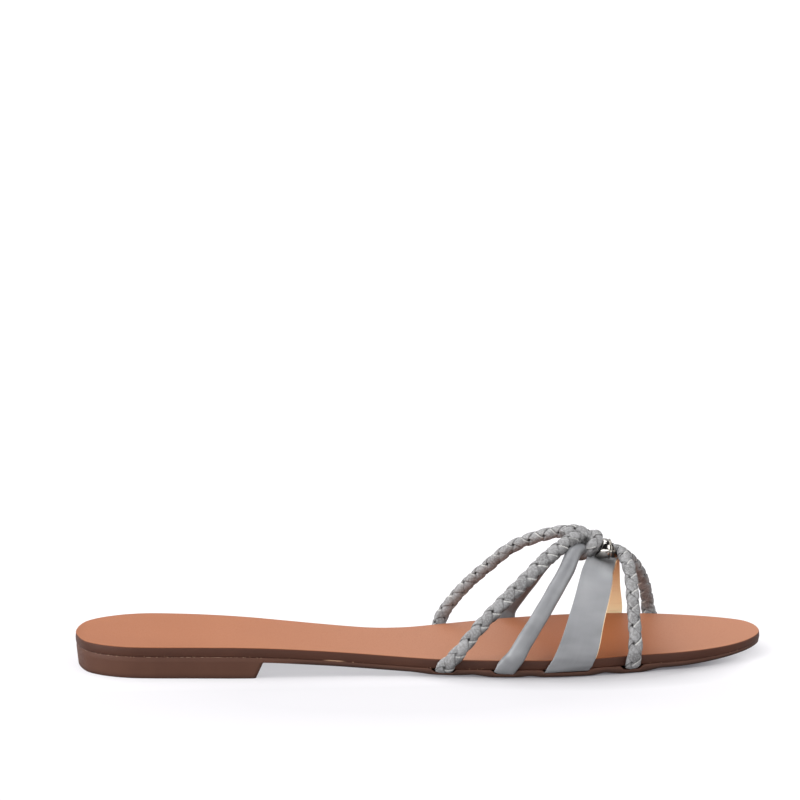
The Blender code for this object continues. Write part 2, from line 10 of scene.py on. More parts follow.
import bmesh
import bpy
import numpy as np
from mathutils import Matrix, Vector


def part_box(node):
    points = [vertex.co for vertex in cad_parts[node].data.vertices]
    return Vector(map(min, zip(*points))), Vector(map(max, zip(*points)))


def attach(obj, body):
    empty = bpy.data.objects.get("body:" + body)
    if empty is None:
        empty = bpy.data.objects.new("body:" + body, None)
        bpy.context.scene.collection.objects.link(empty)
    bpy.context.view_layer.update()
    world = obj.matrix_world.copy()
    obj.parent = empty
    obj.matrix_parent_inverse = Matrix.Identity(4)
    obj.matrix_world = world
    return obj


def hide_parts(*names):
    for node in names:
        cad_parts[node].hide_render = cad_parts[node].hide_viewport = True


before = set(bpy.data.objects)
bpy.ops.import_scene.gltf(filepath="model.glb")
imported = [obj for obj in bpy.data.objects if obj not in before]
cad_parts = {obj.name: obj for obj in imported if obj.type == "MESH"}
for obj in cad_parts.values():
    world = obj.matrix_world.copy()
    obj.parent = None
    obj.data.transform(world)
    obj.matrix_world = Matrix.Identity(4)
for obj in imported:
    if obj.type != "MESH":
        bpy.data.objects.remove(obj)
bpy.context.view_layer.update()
print("packed nodes:", sorted(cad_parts))

# %% [markdown]
# ## Curves through a few rows
#
# A shoemaker draws an outline by bending a spline past a few pins. A centripetal Catmull-Rom curve
# does the same with numbers: it passes through every row and never loops, however uneven the rows
# are. All its spans are worked out together as one array.


# %% Helpers for curves
def smoothstep(value):
    """Rises from 0 to 1 as 3 v^2 - 2 v^3, and holds 0 and 1 outside."""
    held = np.clip(value, 0.0, 1.0)
    return held * held * (3.0 - 2.0 * held)


def ramp(value, start, end):
    """A smoothstep that is 0 at the start and 1 at the end."""
    return smoothstep((value - start) / (end - start))


def unit(vectors):
    """Each vector divided by its length."""
    return vectors / np.linalg.norm(vectors, axis=-1, keepdims=True)


def curve_through(rows, closed=False, per_span=24):
    """Centripetal Catmull-Rom curve. Knots lie a square root of the chord apart, and each span is a
    blend of two blends of three lines through four rows. The first three columns set the chords."""
    rows = np.asarray(rows, float)
    if closed:
        padded = np.vstack((rows[-1:], rows, rows[:2]))
    else:
        padded = np.vstack((2 * rows[0] - rows[1], rows, 2 * rows[-1] - rows[-2]))
    spans = len(padded) - 3
    p0, p1, p2, p3 = (padded[k : k + spans, None] for k in range(4))

    def knot(a, b):
        return np.linalg.norm((b - a)[..., :3], axis=-1, keepdims=True) ** 0.5

    t1 = knot(p0, p1)
    t2 = t1 + knot(p1, p2)
    t3 = t2 + knot(p2, p3)
    t = t1 + (t2 - t1) * np.linspace(0.0, 1.0, per_span, endpoint=False)[None, :, None]
    a1 = (p0 * (t1 - t) + p1 * t) / t1
    a2 = (p1 * (t2 - t) + p2 * (t - t1)) / (t2 - t1)
    a3 = (p2 * (t3 - t) + p3 * (t - t2)) / (t3 - t2)
    b1 = (a1 * (t2 - t) + a2 * t) / t2
    b2 = (a2 * (t3 - t) + a3 * (t - t1)) / (t3 - t1)
    points = ((b1 * (t2 - t) + b2 * (t - t1)) / (t2 - t1)).reshape(-1, rows.shape[1])
    return points if closed else np.vstack((points, rows[-1:]))


square = curve_through(((0, 0), (1, 0), (1, 1), (0, 1)), closed=True)
print("a square of four rows gives a round curve of", len(square), "points")

# %% [markdown]
# ## The outline of the board
#
# Every layer of the sole follows one outline, seen from above. The table is in millimetres: x runs
# from the back of the heel to the toe, and the outer and inner edges are given by how far they lie
# from the centre line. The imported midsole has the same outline, so its box says where the zero of
# the table lies in the shared frame, and no piece has to be fitted by eye.

# %% Outline and place in the frame
MM = 0.001
SOLE_LENGTH = 250.0
BOARD_OUTLINE = (
    # x, outer, inner
    (0.0, 0.0, 0.0),
    (3.0, 16.0, 15.7),
    (7.5, 22.0, 22.0),
    (12.5, 25.7, 25.7),
    (18.5, 28.4, 28.4),
    (26.0, 29.8, 29.6),
    (42.0, 31.2, 27.2),
    (60.0, 32.7, 21.7),
    (78.0, 32.7, 17.0),
    (94.0, 32.0, 15.0),
    (108.0, 32.3, 14.9),
    (120.0, 33.4, 18.6),
    (134.0, 35.2, 26.0),
    (150.0, 37.2, 32.0),
    (167.0, 38.6, 37.1),
    (181.0, 37.4, 39.9),
    (195.0, 33.6, 40.9),
    (206.0, 30.9, 40.5),
    (216.0, 28.8, 38.4),
    (226.0, 25.4, 34.6),
    (235.0, 20.4, 29.8),
    (242.0, 14.0, 24.8),
    (246.7, 7.0, 19.8),
    (249.2, 0.6, 13.6),
    (250.0, -6.5, 6.5),
)


def board_sides(per_span=24):
    """The two long edges of the board, heel to toe: x, y and the normal that points inwards."""
    table = np.array(BOARD_OUTLINE)
    outer = np.column_stack((table[:, 0], -table[:, 1]))
    inner = np.column_stack((table[:, 0], table[:, 2]))
    loop = curve_through(np.vstack((outer, inner[-2:0:-1])), closed=True, per_span=per_span)
    along = unit(np.roll(loop, -1, axis=0) - np.roll(loop, 1, axis=0))
    edge = np.column_stack((loop, -along[:, 1], along[:, 0]))
    toe = (len(table) - 1) * per_span
    return {"outer": edge[: toe + 1], "inner": np.vstack((edge[toe:], edge[:1]))[::-1]}


SIDES = board_sides()


def edge_at(x, side, inset):
    """The edge at station x, moved inwards along its normal by the inset. Both may be grids."""
    rows = SIDES[side]
    known = np.maximum.accumulate(rows[:, 0])
    y, normal_x, normal_y = (np.interp(x, known, rows[:, k]) for k in (1, 2, 3))
    return np.stack((x + inset * normal_x, y + inset * normal_y), axis=-1)


board_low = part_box("midsole")[0]
FRAME_SHIFT = np.array((board_low.x, board_low.y - SIDES["outer"][:, 1].min() * MM, 0.0))


def to_frame(points):
    """Shoe millimetres to metres in the shared frame."""
    return np.asarray(points) * MM + FRAME_SHIFT


print("the zero of the shoe lies at", (FRAME_SHIFT / MM).round(2), "mm in the frame")

# %% [markdown]
# ## Heights of the sole
#
# Seen from the side, the sole stands on a low heel, falls through the arch to the ball of the foot,
# and springs up a little at the toe, where the layers also get thinner. Where a strap end passes
# under the board, the outsole bulges down and out around it, so its edge runs in low waves.

# %% Height formulas
HEEL_TOP = 11.5
FOREPART_TOP = 6.3
TOE_SPRING = 1.0
ARCH_START, ARCH_END = 53.0, 140.0
SPRING_START, SPRING_CURVE = 205.0, 1.6
TOE_THIN_START = 212.0
SOCK_THICK = 0.7
LAYER_GAP = 0.3
BOARD_THICK, BOARD_THICK_TOE = 2.55, 1.7
OUTSOLE_THICK, OUTSOLE_THICK_TOE = 1.5, 0.7
HEEL_ROUND_END, TOE_ROUND_START = 25.0, 225.0
ROUND_STATIONS, MIDDLE_STATIONS = 41, 321


def sock_top(x):
    """Heel height, less a smooth fall through the arch, plus a power curve at the toe."""
    fall = ramp(x, ARCH_START, ARCH_END)
    rise = np.clip((x - SPRING_START) / (SOLE_LENGTH - SPRING_START), 0.0, 1.0) ** SPRING_CURVE
    return HEEL_TOP + (FOREPART_TOP - HEEL_TOP) * fall + TOE_SPRING * rise


def thinned(x, full, at_toe):
    """A thickness that eases from its full value to that at the tip of the toe."""
    return full + (at_toe - full) * ramp(x, TOE_THIN_START, SOLE_LENGTH)


def board_bottom(x):
    return sock_top(x) - SOCK_THICK - LAYER_GAP - thinned(x, BOARD_THICK, BOARD_THICK_TOE)


def outsole_lift(x):
    """Underside of the outsole where it is an even sheet below the board."""
    return board_bottom(x) - LAYER_GAP - thinned(x, OUTSOLE_THICK, OUTSOLE_THICK_TOE)


def stations():
    """Places along the sole, crowded at the heel as 1 - cos and at the toe as sin."""
    quarter = np.linspace(0.0, np.pi / 2, ROUND_STATIONS)
    heel = HEEL_ROUND_END * (1.0 - np.cos(quarter))
    middle = np.linspace(HEEL_ROUND_END, TOE_ROUND_START, MIDDLE_STATIONS)
    toe = TOE_ROUND_START + (SOLE_LENGTH - TOE_ROUND_START) * np.sin(quarter)
    return np.concatenate((heel, middle[1:], toe[1:]))


X = stations()
print(len(X), "stations, sock top from", HEEL_TOP, "mm at the heel to", FOREPART_TOP, "mm at the ball")

# %% [markdown]
# ## From a grid to a mesh
#
# A section that closes on itself, carried along a path, makes a grid: rows along the piece and
# columns once around it. The grid goes into a mesh with a UV map in metres, so that a streak or a
# crease keeps its size, and with named masks for the places that wear or take another colour.
# Points that fall together at a tip are merged, and the faces are turned to point outwards.


# %% Mesh helper
def put_in_scene(name, data):
    """An object for a mesh, lamp or camera, linked to the scene."""
    thing = bpy.data.objects.new(name, data)
    bpy.context.scene.collection.objects.link(thing)
    return thing


def put_in_mesh(name, grid, masks=None, caps=False, sharp_degrees=35.0):
    """A piece from a grid in shoe millimetres. u is the distance along the middles of the rows, and v
    the mean distance from column to column, both added up from the start."""
    rows, columns = grid.shape[:2]
    number = np.arange(rows * columns).reshape(rows, columns)
    beside = np.roll(number, -1, axis=1)
    quads = np.stack((number[:-1], beside[:-1], beside[1:], number[1:]), axis=-1).reshape(-1, 4)
    forward = np.linalg.norm(np.diff(grid.mean(axis=1), axis=0), axis=1)
    sideways = np.linalg.norm(np.roll(grid, -1, axis=1) - grid, axis=2).mean(axis=0)
    u = np.concatenate(([0.0], np.cumsum(forward)))
    v = np.concatenate(([0.0], np.cumsum(sideways)))
    corner_u = np.stack((u[:-1], u[:-1], u[1:], u[1:]), axis=-1)[:, None]
    corner_v = np.stack((v[:-1], v[1:], v[1:], v[:-1]), axis=-1)[None]
    uv = np.stack(np.broadcast_arrays(corner_u, corner_v), axis=-1).reshape(-1, 2)
    faces = quads.tolist()
    if caps:
        faces += [number[0].tolist(), number[-1, ::-1].tolist()]
        first_cap = np.column_stack((np.full(columns, u[0]), v[:-1]))
        last_cap = np.column_stack((np.full(columns, u[-1]), v[-2::-1]))
        uv = np.vstack((uv, first_cap, last_cap))
    mesh = bpy.data.meshes.new(name)
    mesh.from_pydata(to_frame(grid.reshape(-1, 3)).tolist(), [], faces)
    mesh.uv_layers.new(name="UVMap").data.foreach_set("uv", (uv * MM).astype(np.float32).ravel())
    for label, values in (masks or {}).items():
        layer = mesh.attributes.new(label, "FLOAT", "POINT")
        spread_out = np.broadcast_to(values, (rows, columns)).astype(np.float32)
        layer.data.foreach_set("value", spread_out.ravel())
    close_and_turn_out(mesh)
    mesh.shade_smooth()
    mesh.set_sharp_from_angle(angle=np.radians(sharp_degrees))
    print(name, "has", len(mesh.polygons), "faces")
    return put_in_scene(name, mesh)


def close_and_turn_out(mesh, weld_mm=0.002):
    """Merges points that fall together, then turns every face outwards."""
    bm = bmesh.new()
    bm.from_mesh(mesh)
    bmesh.ops.remove_doubles(bm, verts=bm.verts, dist=weld_mm * MM)
    bmesh.ops.recalc_face_normals(bm, faces=bm.faces)
    bm.to_mesh(mesh)
    bm.free()


def dress(piece, finish, node):
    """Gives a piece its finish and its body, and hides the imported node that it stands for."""
    piece.data.materials.append(finish)
    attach(piece, "root")
    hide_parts(node)


# %% [markdown]
# ## Node helpers and shared effects
#
# Leather, paint and metal share a few effects: a fine grain, slow drifts of tone, streaks along a
# strap and chips along an edge. Each effect is a node group, built once, that puts out only masks
# and heights. The shader itself stays in each material, with the numbers that are the same all
# over the surface set on its own sockets.


# %% Node helpers
def add(tree, kind, inputs=None, **settings):
    """A node with its settings, and with its sockets set to values or wired to other sockets."""
    made = tree.nodes.new(kind)
    for key, value in settings.items():
        setattr(made, key, value)
    for socket, value in (inputs or {}).items():
        if isinstance(value, bpy.types.NodeSocket):
            tree.links.new(value, made.inputs[socket])
        else:
            made.inputs[socket].default_value = value
    return made


def linear(red, green, blue):
    """8-bit screen values to the linear colour that shaders work in."""
    screen = np.array((red, green, blue)) / 255.0
    value = np.where(screen <= 0.04045, screen / 12.92, ((screen + 0.055) / 1.055) ** 2.4)
    return (*value.tolist(), 1.0)


COLOUR_A, COLOUR_B, COLOUR_OUT = 6, 7, 2


def mix_colours(tree, factor, first, second):
    sockets = {0: factor, COLOUR_A: first, COLOUR_B: second}
    return add(tree, "ShaderNodeMix", sockets, data_type="RGBA").outputs[COLOUR_OUT]


def spread(tree, value, low, high, to_low, to_high):
    """Maps a value from one range to another, held at the ends."""
    sockets = {"Value": value, "From Min": low, "From Max": high, "To Min": to_low, "To Max": to_high}
    return add(tree, "ShaderNodeMapRange", sockets).outputs["Result"]


def maths(tree, operation, first, second):
    return add(tree, "ShaderNodeMath", {0: first, 1: second}, operation=operation).outputs["Value"]


def product(tree, first, second):
    return maths(tree, "MULTIPLY", first, second)


def total(tree, first, second):
    return maths(tree, "ADD", first, second)


def vector_maths(tree, operation, *vectors):
    """The outputs of a vector node: a Vector, or a Value where the operation gives a number."""
    return add(tree, "ShaderNodeVectorMath", dict(enumerate(vectors)), operation=operation).outputs


def noise(tree, vector, scale, detail, roughness):
    sockets = {"Vector": vector, "Scale": scale, "Detail": detail, "Roughness": roughness}
    return add(tree, "ShaderNodeTexNoise", sockets).outputs["Fac"]


def new_group(name, inputs, outputs):
    """An empty node group. An input without a default value is a vector, and all others are numbers."""
    group = bpy.data.node_groups.new(name, "ShaderNodeTree")
    for label, value in inputs.items():
        kind = "NodeSocketVector" if value is None else "NodeSocketFloat"
        socket = group.interface.new_socket(label, in_out="INPUT", socket_type=kind)
        if value is not None:
            socket.default_value = value
    for label in outputs:
        group.interface.new_socket(label, in_out="OUTPUT", socket_type="NodeSocketFloat")
    return group, group.nodes.new("NodeGroupInput").outputs, group.nodes.new("NodeGroupOutput").inputs


def effect(tree, group, inputs):
    """Places a group in a tree with its own values, and gives back its outputs."""
    return add(tree, "ShaderNodeGroup", inputs, node_tree=group).outputs


print("node helpers are ready")

# %% Leather grain group
GRAIN, grain_in, grain_out = new_group(
    "leather_grain",
    {"Vector": None, "Cells Per Metre": 2200.0, "Drift Per Metre": 60.0},
    ("Height", "Drift"),
)
sockets = {"Vector": grain_in["Vector"], "Scale": grain_in["Cells Per Metre"]}
cells = add(GRAIN, "ShaderNodeTexVoronoi", sockets).outputs["Distance"]
pebbles = spread(GRAIN, cells, 0.15, 0.75, 0.6, 0.0)
hairs = noise(GRAIN, grain_in["Vector"], grain_in["Cells Per Metre"], 3.0, 0.6)
drift = noise(GRAIN, grain_in["Vector"], grain_in["Drift Per Metre"], 3.0, 0.5)
GRAIN.links.new(total(GRAIN, pebbles, product(GRAIN, hairs, 0.4)), grain_out["Height"])
GRAIN.links.new(spread(GRAIN, drift, 0.3, 0.7, 0.0, 1.0), grain_out["Drift"])
print("shared effect:", GRAIN.name)

# %% Streak group
STREAKS, streak_in, streak_out = new_group(
    "lengthwise_streaks",
    {"UV": None, "Along Per Metre": 60.0, "Across Per Metre": 900.0},
    ("Streak",),
)
sockets = {"X": streak_in["Along Per Metre"], "Y": streak_in["Across Per Metre"]}
pull = add(STREAKS, "ShaderNodeCombineXYZ", sockets).outputs["Vector"]
pulled = vector_maths(STREAKS, "MULTIPLY", streak_in["UV"], pull)["Vector"]
strokes = noise(STREAKS, pulled, 1.0, 2.0, 0.5)
STREAKS.links.new(spread(STREAKS, strokes, 0.3, 0.7, 0.0, 1.0), streak_out["Streak"])
print("shared effect:", STREAKS.name)

# %% Chipped edge group
CHIPS, chip_in, chip_out = new_group(
    "chipped_edge",
    {"Vector": None, "Edge": 0.0, "Chips Per Metre": 700.0, "Amount": 0.4},
    ("Chip",),
)
specks = noise(CHIPS, chip_in["Vector"], chip_in["Chips Per Metre"], 2.0, 0.6)
above = maths(CHIPS, "SUBTRACT", total(CHIPS, specks, chip_in["Amount"]), 1.0)
chip = product(CHIPS, spread(CHIPS, above, 0.0, 0.06, 0.0, 1.0), chip_in["Edge"])
CHIPS.links.new(chip, chip_out["Chip"])
print("shared effect:", CHIPS.name)


# %% Start of every finish
def new_finish(name, metallic=0.0):
    """A material with its tree, its shader and its texture coordinates."""
    finish = bpy.data.materials.new(name)
    finish.use_nodes = True
    tree = finish.node_tree
    shader = tree.nodes["Principled BSDF"]
    shader.inputs["Metallic"].default_value = metallic
    return finish, tree, shader, add(tree, "ShaderNodeTexCoord").outputs


def mask(tree, name):
    """A mask that a piece carries on its own points."""
    return add(tree, "ShaderNodeAttribute", attribute_name=name).outputs["Fac"]


def grain_on(tree, coords, cells, drift):
    """The leather grain in a piece's own coordinates, with so many cells and drifts per metre."""
    sockets = {"Vector": coords["Object"], "Cells Per Metre": cells, "Drift Per Metre": drift}
    return effect(tree, GRAIN, sockets)


def streaks_on(tree, coords, along, across):
    """Streaks in the UV map of a piece, with so many along it and across it per metre."""
    sockets = {"UV": coords["UV"], "Along Per Metre": along, "Across Per Metre": across}
    return effect(tree, STREAKS, sockets)["Streak"]


def chips_on(tree, coords, edge, per_metre, amount):
    """Chips in the paint where a mask says that an edge is."""
    sockets = {"Vector": coords["Object"], "Edge": mask(tree, edge)}
    sockets.update({"Chips Per Metre": per_metre, "Amount": amount})
    return effect(tree, CHIPS, sockets)["Chip"]


def wire(tree, shader, colour, roughness, specular=0.5):
    """Wires the colour and the roughness, and sets the specular level, which is the same all over."""
    tree.links.new(colour, shader.inputs["Base Color"])
    tree.links.new(roughness, shader.inputs["Roughness"])
    shader.inputs["Specular IOR Level"].default_value = specular


def raise_surface(tree, shader, height, depth_mm, strength):
    """Fine relief of the given depth, as a bump."""
    sockets = {"Height": height, "Distance": depth_mm * MM, "Strength": strength}
    bump = add(tree, "ShaderNodeBump", sockets)
    tree.links.new(bump.outputs["Normal"], shader.inputs["Normal"])


print("every finish starts from a Principled shader")

# %% [markdown]
# ## The sock
#
# The insole is a sheet of tan leather glued on the board. Its top edge is a little rounded, and its
# cut side is painted dark with the rest of the edge, so the tan ends in a clean line. Under the
# straps the leather is a deeper orange, a painted shade, and towards the toe it is paler, a painted
# sheen. The sheet could be an extruded outline with a bevel. Here each station has its own closed
# section instead, because the sheet bends with the arch while its sides stay upright.

# %% Tan sock finish
SOCK, tree, shader, coords = new_finish("tan_sock_leather")
grain = grain_on(tree, coords, 2600.0, 22.0)
heel_tan = mix_colours(tree, grain["Drift"], linear(155, 97, 64), linear(150, 92, 60))
# Painted sheen makes the tan paler to the toe, and painted shade makes it deeper orange under the straps
tan = mix_colours(tree, mask(tree, "forepart"), heel_tan, linear(164, 111, 84))
strap_shaded_tan = mix_colours(tree, mask(tree, "strap_shade"), tan, linear(134, 71, 30))
pores = spread(tree, grain["Height"], 0.1, 0.45, 0.35, 0.0)
porous = mix_colours(tree, pores, strap_shaded_tan, linear(142, 88, 61))
paint_line = mix_colours(tree, mask(tree, "painted"), porous, linear(74, 46, 37))
wire(tree, shader, paint_line, spread(tree, grain["Height"], 0.2, 0.9, 0.5, 0.42), specular=0.1)
raise_surface(tree, shader, grain["Height"], 0.02, 0.5)
print("finish:", SOCK.name)


# %% Sections of the sole
def sole_grid(x, share, inset, height):
    """Column j lies a share of the way from the outer edge to the inner edge, both drawn in by the
    inset: P = (1 - share) outer(x, inset) + share inner(x, inset), at the given height."""
    shape = np.shape(height)
    at = np.broadcast_to(x[:, None], shape)
    drawn_in = np.broadcast_to(inset, shape)
    blend = np.broadcast_to(share, shape)[..., None]
    plan = edge_at(at, "outer", drawn_in) * (1.0 - blend) + edge_at(at, "inner", drawn_in) * blend
    return np.dstack((plan, height))


def rounded_corner(radius, steps):
    """A quarter circle as insets r (1 - cos t) and drops r (1 - sin t), from the side to the face."""
    turn = np.linspace(0.0, np.pi / 2, steps)
    return radius * (1.0 - np.cos(turn)), radius * (1.0 - np.sin(turn))


def sole_width(x):
    return np.linalg.norm(edge_at(x, "inner", 0.0) - edge_at(x, "outer", 0.0), axis=1)


print("the sole is", sole_width(X).max().round(1), "mm wide at most")

# %% Sock piece
SOCK_INSET = 0.1
SOCK_ROUND = 0.4
SOCK_DISH = 0.3
DISH_WIDTH = 40.0
SOCK_COLUMNS, SOCK_CORNER_STEPS = 41, 5
# Paint on the columns of a side, from the foot of the wall over the corner
SIDE_PAINT = np.array((1.0, 1.0, 1.0, 0.5, 0.0, 0.0))
# Stations between which painted shade darkens the leather under the straps, and those where a
# painted sheen makes it paler to the toe
STRAP_SHADE_START, STRAP_SHADE_FULL, STRAP_SHADE_FADE, STRAP_SHADE_END = 146.0, 178.0, 196.0, 220.0
STRAP_SHADE_SHARE = 0.8
FOREPART_START, FOREPART_FULL = 30.0, 140.0
# Neighbouring layers overlap by this much, so that no light shows between them
TOUCH = 0.05


def make_sock():
    """Outer wall, corner, top, corner, inner wall and a flat underside. The top is a shallow dish,
    4 d s (1 - s) deep at share s of the width, that fades where the sole is narrow."""
    inset, drop = rounded_corner(SOCK_ROUND, SOCK_CORNER_STEPS)
    across = np.linspace(0.0, 1.0, SOCK_COLUMNS)[1:-1]
    corner_share = np.zeros(SOCK_CORNER_STEPS + 1)
    share = np.concatenate((corner_share, across, 1.0 - corner_share))
    wall_inset = np.concatenate(([0.0], inset))
    wall_drop = np.concatenate(([SOCK_THICK + TOUCH], drop))
    insets = np.concatenate((wall_inset, np.full(len(across), SOCK_ROUND), wall_inset[::-1]))
    walls = np.concatenate((wall_drop, np.zeros(len(across)), wall_drop[::-1]))
    dish = 4.0 * SOCK_DISH * share * (1.0 - share) * smoothstep(sole_width(X) / DISH_WIDTH)[:, None]
    height = sock_top(X)[:, None] - walls - dish
    painted = np.concatenate((SIDE_PAINT, np.zeros(len(across)), SIDE_PAINT[::-1]))
    strap_shade = ramp(X, STRAP_SHADE_START, STRAP_SHADE_FULL) * (1.0 - ramp(X, STRAP_SHADE_FADE, STRAP_SHADE_END))
    strap_shade = STRAP_SHADE_SHARE * strap_shade[:, None]
    forepart = ramp(X, FOREPART_START, FOREPART_FULL)[:, None]
    masks = {"painted": painted, "forepart": forepart, "strap_shade": strap_shade}
    piece = put_in_mesh("insole_sock", sole_grid(X, share, SOCK_INSET + insets, height), masks)
    dress(piece, SOCK, "insole")


make_sock()

# %% [markdown]
# ## The board
#
# Under the sock lies a stiff board whose trimmed edge is painted dark brown in one pass with the
# edge of the sock. The paint is satin and thin at the lower corner, and a pale patch lies at the
# waist near that corner. The wall is a shallow convex curve, as a trimming wheel leaves it.

# %% Painted edge finish
BOARD, tree, shader, coords = new_finish("dark_edge_paint")
grain = grain_on(tree, coords, 1500.0, 70.0)
chips = chips_on(tree, coords, "low_edge", 700.0, 0.36)
paint = mix_colours(tree, grain["Drift"], linear(70, 43, 33), linear(62, 38, 30))
pale_patch = maths(tree, "MAXIMUM", chips, mask(tree, "pale_patch"))
chipped = mix_colours(tree, pale_patch, paint, linear(186, 150, 122))
wire(tree, shader, chipped, spread(tree, grain["Height"], 0.2, 0.9, 0.40, 0.50), specular=0.12)
raise_surface(tree, shader, grain["Height"], 0.03, 0.35)
print("finish:", BOARD.name)

# %% Board piece
WALL_BULGE = 0.12
WALL_ROWS = 13
# How far the lower corner is drawn in, and the shares of the height that it and its thin paint take
LOW_CORNER, LOW_CORNER_REACH, THIN_PAINT_REACH = 0.22, 0.05, 0.06
# The pale patch at the waist: its station and reach, and how near the lower corner it stays
PATCH_X, PATCH_REACH, PATCH_LIMIT = 91.5, 3.2, 0.2


def make_board():
    """Two walls bulged as b (1 - (2 v - 1)^2) at share v of their height, with the lower corner drawn
    in, closed by a flat top and underside."""
    rise = np.linspace(0.0, 1.0, WALL_ROWS)
    wall_inset = WALL_BULGE * (2.0 * rise - 1.0) ** 2 + LOW_CORNER * np.exp(-rise / LOW_CORNER_REACH)
    share = np.concatenate((np.zeros(WALL_ROWS), np.ones(WALL_ROWS)))
    rises = np.concatenate((rise, rise[::-1]))
    bottom = board_bottom(X)[:, None]
    top = sock_top(X)[:, None] - SOCK_THICK
    height = bottom + (top - bottom) * rises
    low_edge = np.exp(-rises / THIN_PAINT_REACH)
    near_patch = np.exp(-(((X - PATCH_X) / PATCH_REACH) ** 4))[:, None]
    pale_patch = near_patch * (low_edge > PATCH_LIMIT) * (share == 0)
    insets = np.concatenate((wall_inset, wall_inset[::-1]))
    masks = {"low_edge": low_edge, "pale_patch": pale_patch}
    piece = put_in_mesh("midsole_board", sole_grid(X, share, insets, height), masks)
    dress(piece, BOARD, "midsole")


make_board()

# %% [markdown]
# ## The outsole
#
# The outsole is one thin sheet from heel to toe. It lies flat on the floor under the ball of the
# foot, and its edge curls up to meet the board between the strap ends. Over each strap end it
# leaves a shallow channel, so small dark slits show beside the straps. A cloth simulation could
# press it around the straps, but bumps along the edge say the same with fewer surprises.

# %% Sole leather finish
SOLE, tree, shader, coords = new_finish("brown_sole_leather")
grain = grain_on(tree, coords, 1300.0, 55.0)
chips = chips_on(tree, coords, "seam", 1100.0, 0.47)
brown = mix_colours(tree, grain["Drift"], linear(84, 56, 45), linear(77, 50, 40))
# Painted shade darkens the lower edge of the outsole and the foot of the heel
shaded = mix_colours(tree, mask(tree, "low_edge"), brown, linear(44, 30, 25))
chipped = mix_colours(tree, chips, shaded, linear(150, 122, 106))
wire(tree, shader, chipped, spread(tree, grain["Height"], 0.2, 0.9, 0.42, 0.56), specular=0.15)
raise_surface(tree, shader, grain["Height"], 0.04, 0.4)
print("finish:", SOLE.name)

# %% Waves around the strap ends
TREAD_START, TREAD_FULL = 112.0, 129.0
TREAD_FADE, TREAD_END = 207.0, 236.0
OUTER_FEET = {
    # strap: (x, half width, share of the bulge, lean to the toe for each millimetre of height,
    # share of the channel)
    "rear": (129.3, 3.3, 0.35, 0.9, 1.0),
    "rolled": (151.0, 3.4, 0.75, 0.75, 1.0),
    "band": (173.3, 7.6, 0.7, 0.5, 0.72),
    "front": (197.5, 3.0, 0.9, 0.1, 1.0),
}
INNER_FEET = {
    "rear": (133.0, 2.6, 0.35, 0.5, 1.0),
    "rolled": (158.4, 3.4, 0.75, 0.7, 1.0),
    "band": (196.2, 7.8, 0.7, 0.0, 0.72),
    "front": (214.4, 2.6, 0.9, 0.0, 1.0),
}
FEET = {"outer": OUTER_FEET, "inner": INNER_FEET}


def tread(x):
    """1 where the forepart lies on the floor, 0 where it is lifted."""
    return ramp(x, TREAD_START, TREAD_FULL) * (1.0 - ramp(x, TREAD_FADE, TREAD_END))


def wave(x, side, margin, fall, share):
    """Bumps at the strap ends, each flat over its strap and then falling away, joined by the cube root
    of the sum of their cubes."""
    centre, half_width, bulge, lean, channel = np.array(list(FEET[side].values())).T
    beyond = np.abs(x[:, None] - centre - lean) - half_width - margin
    bumps = smoothstep(1.0 - beyond / fall)
    tall = bumps * {"bulge": bulge, "channel": channel}[share]
    return np.minimum((tall**3).sum(axis=1) ** (1.0 / 3.0), 1.0)


on_floor = X[tread(X) > 0.5]
print("the forepart lies on the floor from", on_floor.min().round(), "to", on_floor.max().round(), "mm")

# %% Outsole piece
OUTSOLE_INSET = 0.3
OUTSOLE_CORNER, OUTSOLE_CORNER_STEPS = 0.2, 4
WAVE_DEPTH = 1.0
WAVE_BULGE = 1.1
CURL_WIDTH, CHANNEL_END = 7.0, 9.5
CHANNEL_MARGIN, CHANNEL_FALL = -0.4, 1.9
BULGE_MARGIN, BULGE_FALL = 0.2, 9.0
CROWDED_WIDTH = 2.4 * CHANNEL_END
DEPTHS = np.array((0.4, 1.0, 1.8, 2.8, 4.0, 5.2, 6.2, CURL_WIDTH, 8.2, CHANNEL_END))
# Narrower widths count as this, so that nothing is divided by zero at the tip of the toe
LEAST_WIDTH = 0.01
# Stations where the seam over the heel ends, and from which the corner is round and the edge
# darkened with painted shade
HEEL_SEAM_END, CORNER_FULL, EDGE_FULL = 66.0, 70.0, 86.0
# Columns of half a section, counted from the middle of the underside: the first and last of the
# seam over the heel, and of the lower edge darkened with painted shade
SEAM_COLUMNS = 15, 18
LOW_EDGE_COLUMNS = 9, 13


